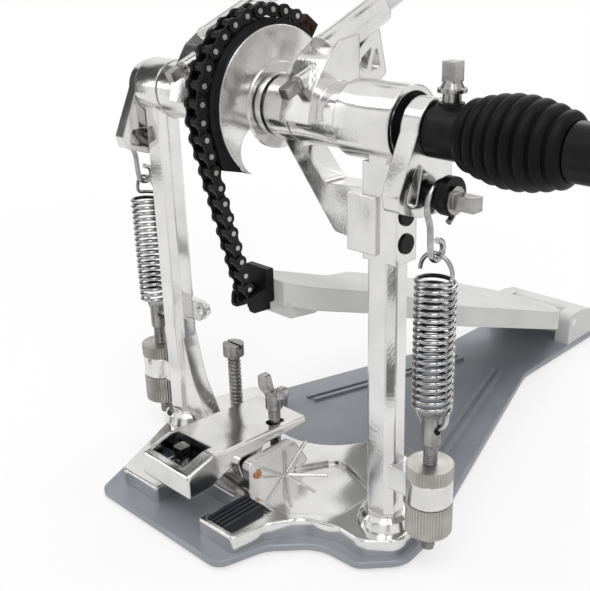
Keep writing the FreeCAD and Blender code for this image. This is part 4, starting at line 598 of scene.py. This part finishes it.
# screw threads, each a ridge wound round a bare stretch of rod
threadLook = {"radius": 3.0, "sides": 6, "perTurn": 24}
rodThread = {"pitch": 1.25, "ridge": 0.42}
spurThread = {"pitch": 2.4, "ridge": 0.85}
threads = {
    "leftRodLow": {"foot": (-102.0, -4.6, 10.9), "top": 21.0, "cut": rodThread, "body": "frame"},
    "leftRodHigh": {"foot": (-102.0, -4.6, 57.4), "top": 67.6, "cut": rodThread, "body": "frame"},
    "rightRodLow": {"foot": (102.0, -4.6, 10.9), "top": 21.0, "cut": rodThread, "body": "frame"},
    "rightRodHigh": {"foot": (102.0, -4.6, 57.4), "top": 67.6, "cut": rodThread, "body": "frame"},
    "spurThread": {"foot": (-47.0, 6.0, 19.8), "top": 60.8, "cut": spurThread, "body": "floor_spur"},
    "wingThread": {"foot": (-6.0, -2.0, 39.2), "top": 45.8, "cut": rodThread, "body": "wing_screw"},
}


def threadTree():
    inputs = [("Foot", "Vector"), ("Radius", "Float"), ("Height", "Float"), ("Turns", "Float"),
              ("Ridge", "Float"), ("Sides", "Int"), ("Per Turn", "Int"), ("Finish", "Material")]
    tree, entry, leave = newTree("threadOnRod", inputs)
    spiral = tree.nodes.new("GeometryNodeCurveSpiral")
    circle = tree.nodes.new("GeometryNodeCurvePrimitiveCircle")
    sweep = tree.nodes.new("GeometryNodeCurveToMesh")
    sweep.inputs["Fill Caps"].default_value = True
    lift = tree.nodes.new("GeometryNodeTransform")
    pairs = [("Radius", spiral.inputs["Start Radius"]), ("Radius", spiral.inputs["End Radius"]),
             ("Height", spiral.inputs["Height"]), ("Turns", spiral.inputs["Rotations"]),
             ("Per Turn", spiral.inputs["Resolution"]), ("Ridge", circle.inputs["Radius"]),
             ("Sides", circle.inputs["Resolution"]), ("Foot", lift.inputs["Translation"])]
    for label, socket in pairs:
        tree.links.new(entry.outputs[label], socket)
    tree.links.new(spiral.outputs["Curve"], sweep.inputs["Curve"])
    tree.links.new(circle.outputs["Curve"], sweep.inputs["Profile Curve"])
    tree.links.new(sweep.outputs["Mesh"], lift.inputs["Geometry"])
    endTree(tree, leave, lift.outputs["Geometry"], entry.outputs["Finish"])
    return tree


threadNodes = threadTree()
for name, look in threads.items():
    height = look["top"] - look["foot"][2]
    finish = finishes["threadSteel"]
    values = {
        "Foot": [c * mm for c in look["foot"]], "Radius": threadLook["radius"] * mm, "Height": height * mm,
        "Turns": height / look["cut"]["pitch"], "Ridge": look["cut"]["ridge"] * mm,
        "Sides": threadLook["sides"], "Per Turn": threadLook["perTurn"], "Finish": finish,
    }
    thread = runTree(name, bpy.data.meshes.new(name + "Base"), threadNodes, values, finish)
    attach(thread, look["body"])
print("threads cut:", len(threads))


# rubber boot over the joint, in two halves that meet at the cross
bootLook = {
    "start": 112.3, "middle": 136.0, "end": 159.5, "axle": 209.5, "ribs": 8, "neck": 11.2, "swell": 4.6,
    "rib": 2.6, "crest": 0.75, "steps": 24, "around": 72, "wall": 1.4, "grip": 3.0,
}


def bootTree():
    inputs = [("Neck", "Float"), ("Swell", "Float"), ("Rib", "Float"), ("Ribs", "Float"),
              ("Crest", "Float"), ("From", "Float"), ("To", "Float"), ("Around", "Int"),
              ("Finish", "Material")]
    tree, entry, leave = newTree("ribbedSleeve", inputs)

    def calc(operation, first, second=None):
        node = tree.nodes.new("ShaderNodeMath")
        node.operation = operation
        for socket, value in zip(node.inputs, (first, second)):
            if value is None:
                continue
            if isinstance(value, (int, float)):
                socket.default_value = value
            else:
                tree.links.new(value, socket)
        return node.outputs["Value"]

    along = tree.nodes.new("GeometryNodeSplineParameter").outputs["Factor"]
    span = calc("SUBTRACT", entry.outputs["To"], entry.outputs["From"])
    share = calc("ADD", entry.outputs["From"], calc("MULTIPLY", along, span))
    bulge = calc("MULTIPLY", entry.outputs["Swell"], calc("SINE", calc("MULTIPLY", share, math.pi)))
    wave = calc("SINE", calc("MULTIPLY", calc("MULTIPLY", share, entry.outputs["Ribs"]), math.pi))
    crest = calc("POWER", calc("ABSOLUTE", wave), entry.outputs["Crest"])
    ridge = calc("MULTIPLY", entry.outputs["Rib"], crest)
    radius = calc("ADD", entry.outputs["Neck"], calc("ADD", bulge, ridge))
    circle = tree.nodes.new("GeometryNodeCurvePrimitiveCircle")
    circle.inputs["Radius"].default_value = 1.0
    tree.links.new(entry.outputs["Around"], circle.inputs["Resolution"])
    sweep = tree.nodes.new("GeometryNodeCurveToMesh")
    tree.links.new(entry.outputs["Geometry"], sweep.inputs["Curve"])
    tree.links.new(circle.outputs["Curve"], sweep.inputs["Profile Curve"])
    tree.links.new(radius, sweep.inputs["Scale"])
    smooth = tree.nodes.new("GeometryNodeSetShadeSmooth")
    tree.links.new(sweep.outputs["Mesh"], smooth.inputs["Geometry"])
    endTree(tree, leave, smooth.outputs["Geometry"], entry.outputs["Finish"])
    return tree


def thicken(piece, wall):
    modifier = piece.modifiers.new("wall", "SOLIDIFY")
    modifier.thickness = wall
    modifier.offset = -1
    bpy.context.view_layer.update()
    graph = bpy.context.evaluated_depsgraph_get()
    mesh = bpy.data.meshes.new_from_object(piece.evaluated_get(graph))
    piece.modifiers.remove(modifier)
    piece.data = mesh


def faceOut(piece, centreLine):
    # turns the sleeve so that its faces look away from its axis
    mesh = piece.data
    good = 0
    for polygon in mesh.polygons:
        away = polygon.center - Vector((polygon.center[0], *centreLine))
        good += 1 if away.dot(polygon.normal) > 0 else -1
    if good < 0:
        mesh.flip_normals()


sleeveNodes = bootTree()
axleHeight = bootLook["axle"]
halves = {
    "bootNear": (bootLook["start"], bootLook["middle"], "secondary_axle", "coupling_cross"),
    "bootFar": (bootLook["middle"], bootLook["end"], "coupling_cross", "drive_socket"),
}
whole = bootLook["end"] - bootLook["start"]
steps = bootLook["steps"] * bootLook["ribs"] // 2
for name, (first, last, near, far) in halves.items():
    reach = last - first
    line = [((first + reach * i / steps) * mm, 0.0, axleHeight * mm) for i in range(steps + 1)]
    finish = finishes["blackRubber"]
    values = {
        "Neck": bootLook["neck"] * mm, "Swell": bootLook["swell"] * mm, "Rib": bootLook["rib"] * mm,
        "Ribs": float(bootLook["ribs"]), "Crest": bootLook["crest"],
        "From": (first - bootLook["start"]) / whole, "To": (last - bootLook["start"]) / whole,
        "Around": bootLook["around"], "Finish": finish,
    }
    sleeve = runTree(name, pathCurve(name + "Path", line), sleeveNodes, values, finish)
    faceOut(sleeve, (0.0, axleHeight * mm))
    thicken(sleeve, bootLook["wall"] * mm)
    if name == "bootNear":
        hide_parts("coupling_boot")
    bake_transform(sleeve)
print("boot ribbed")


# floor and light
stageLook = {
    "floor": (0.93, 0.93, 0.93), "rough": 0.7, "size": 8.0, "below": 0.0005,
    "near": 0.30, "far": 0.75, "glow": 0.66, "sky": 0.58,
}


def buildStage(look):
    mesh = bpy.data.meshes.new("paleFloor")
    half = look["size"] / 2
    corners = [(-half, -half, 0), (half, -half, 0), (half, half, 0), (-half, half, 0)]
    mesh.from_pydata(corners, [], [(0, 1, 2, 3)])
    floor = bpy.data.objects.new("paleFloor", mesh)
    bpy.context.scene.collection.objects.link(floor)
    floor.location.z = -look["below"]
    material, tree, shader = newFinish("paleFloor")
    shader.inputs["Base Color"].default_value = look["floor"] + (1.0,)
    shader.inputs["Roughness"].default_value = look["rough"]
    white = addNode(tree, "ShaderNodeEmission", Color=(1, 1, 1, 1), Strength=1.0)
    # the floor turns white away from the object and keeps the shadow close to it
    away = addNode(tree, "ShaderNodeVectorMath", operation="LENGTH")
    tree.links.new(objectPlace(tree), away.inputs[0])
    fade = addNode(tree, "ShaderNodeMapRange")
    fade.inputs["From Min"].default_value = look["near"]
    fade.inputs["From Max"].default_value = look["far"]
    fade.inputs["To Min"].default_value = look["glow"]
    tree.links.new(away.outputs["Value"], fade.inputs["Value"])
    share = addNode(tree, "ShaderNodeMath", operation="MULTIPLY")
    tree.links.new(seenRays(tree), share.inputs[0])
    tree.links.new(fade.outputs["Result"], share.inputs[1])
    mix = addNode(tree, "ShaderNodeMixShader")
    tree.links.new(share.outputs["Value"], mix.inputs["Fac"])
    tree.links.new(shader.outputs["BSDF"], mix.inputs[1])
    tree.links.new(white.outputs["Emission"], mix.inputs[2])
    tree.links.new(mix.outputs["Shader"], tree.nodes["Material Output"].inputs["Surface"])
    mesh.materials.append(material)


def seenRays(tree):
    rays = addNode(tree, "ShaderNodeLightPath")
    total = rays.outputs["Is Camera Ray"]
    for name in ("Is Glossy Ray", "Is Transmission Ray"):
        most = addNode(tree, "ShaderNodeMath", operation="MAXIMUM")
        tree.links.new(total, most.inputs[0])
        tree.links.new(rays.outputs[name], most.inputs[1])
        total = most.outputs["Value"]
    return total


lamps = {
    "keySoftbox": {"place": (0.55, -0.40, 1.45), "aim": (0, 0, 0.12), "size": (0.9, 0.9), "power": 10.0},
    "sideSoftbox": {"place": (-1.0, -0.6, 0.8), "aim": (0, 0, 0.12), "size": (0.5, 1.1), "power": 3.5},
    "backSoftbox": {"place": (-0.2, 1.3, 1.1), "aim": (0, 0.05, 0.12), "size": (1.2, 0.6), "power": 5.0},
}


def buildLights():
    for name, look in lamps.items():
        data = bpy.data.lights.new(name, "AREA")
        data.shape = "RECTANGLE"
        data.size, data.size_y = look["size"]
        data.energy = look["power"]
        lamp = bpy.data.objects.new(name, data)
        bpy.context.scene.collection.objects.link(lamp)
        lamp.location = look["place"]
        aim = Vector(look["aim"]) - Vector(look["place"])
        lamp.rotation_euler = aim.to_track_quat("-Z", "Y").to_euler()
    world = bpy.data.worlds.new("studioWorld")
    bpy.context.scene.world = world
    world.use_nodes = True
    tree = world.node_tree
    sky = tree.nodes["Background"]
    sky.inputs["Color"].default_value = (1, 1, 1, 1)
    sky.inputs["Strength"].default_value = stageLook["sky"]
    white = addNode(tree, "ShaderNodeBackground", Color=(1, 1, 1, 1), Strength=1.0)
    mix = addNode(tree, "ShaderNodeMixShader")
    tree.links.new(seenRays(tree), mix.inputs["Fac"])
    tree.links.new(sky.outputs["Background"], mix.inputs[1])
    tree.links.new(white.outputs["Background"], mix.inputs[2])
    tree.links.new(mix.outputs["Shader"], tree.nodes["World Output"].inputs["Surface"])


# dark cards that only reflections see, so that the polished metal has contrast
cards = {
    "leftCard": {"place": (-0.75, -0.25, 0.35), "size": (0.5, 0.9)},
    "leftStrip": {"place": (-0.35, -0.80, 0.25), "size": (0.12, 0.9)},
    "frontCard": {"place": (0.15, -0.95, 0.30), "size": (0.35, 0.8)},
    "rightStrip": {"place": (0.80, -0.45, 0.30), "size": (0.12, 0.9)},
    "rightCard": {"place": (0.95, 0.30, 0.30), "size": (0.45, 0.8)},
    "backCard": {"place": (0.30, 0.95, 0.35), "size": (0.40, 0.8)},
    "highCard": {"place": (0.0, 0.0, 1.15), "size": (0.30, 0.6)},
    "highStrip": {"place": (0.45, -0.25, 0.95), "size": (0.14, 0.8)},
    "leftLowStrip": {"place": (-0.80, -0.45, 0.80), "size": (0.7, 0.10)},
    "leftMidStrip": {"place": (-0.80, 0.25, 0.85), "size": (0.7, 0.14)},
    "floorNear": {"place": (0.06, -0.34, 0.004), "size": (0.05, 0.36), "flat": 8.0},
    "floorLeft": {"place": (-0.27, -0.26, 0.004), "size": (0.06, 0.40), "flat": -38.0},
    "floorRight": {"place": (0.36, -0.20, 0.004), "size": (0.05, 0.36), "flat": 62.0},
    "floorBack": {"place": (-0.30, 0.20, 0.004), "size": (0.08, 0.40), "flat": 50.0},
}


cardLook = {"colour": (0.03, 0.03, 0.03, 1), "rough": 0.9, "aim": (0, 0, 0.15)}


def buildCards():
    material, tree, shader = newFinish("darkCard")
    shader.inputs["Base Color"].default_value = cardLook["colour"]
    shader.inputs["Roughness"].default_value = cardLook["rough"]
    for name, look in cards.items():
        width, height = look["size"]
        x, y = width / 2, height / 2
        corners = [(-x, -y, 0), (x, -y, 0), (x, y, 0), (-x, y, 0)]
        mesh = bpy.data.meshes.new(name)
        mesh.from_pydata(corners, [], [(0, 1, 2, 3)])
        mesh.materials.append(material)
        card = bpy.data.objects.new(name, mesh)
        bpy.context.scene.collection.objects.link(card)
        card.location = look["place"]
        aim = Vector(cardLook["aim"]) - Vector(look["place"])
        card.rotation_euler = aim.to_track_quat("-Z", "Y").to_euler()
        if "flat" in look:
            card.rotation_euler = (0, 0, math.radians(look["flat"]))
        card.visible_camera = False
        card.visible_diffuse = False
        card.visible_shadow = False


buildStage(stageLook)
buildLights()
buildCards()
print("stage lit")
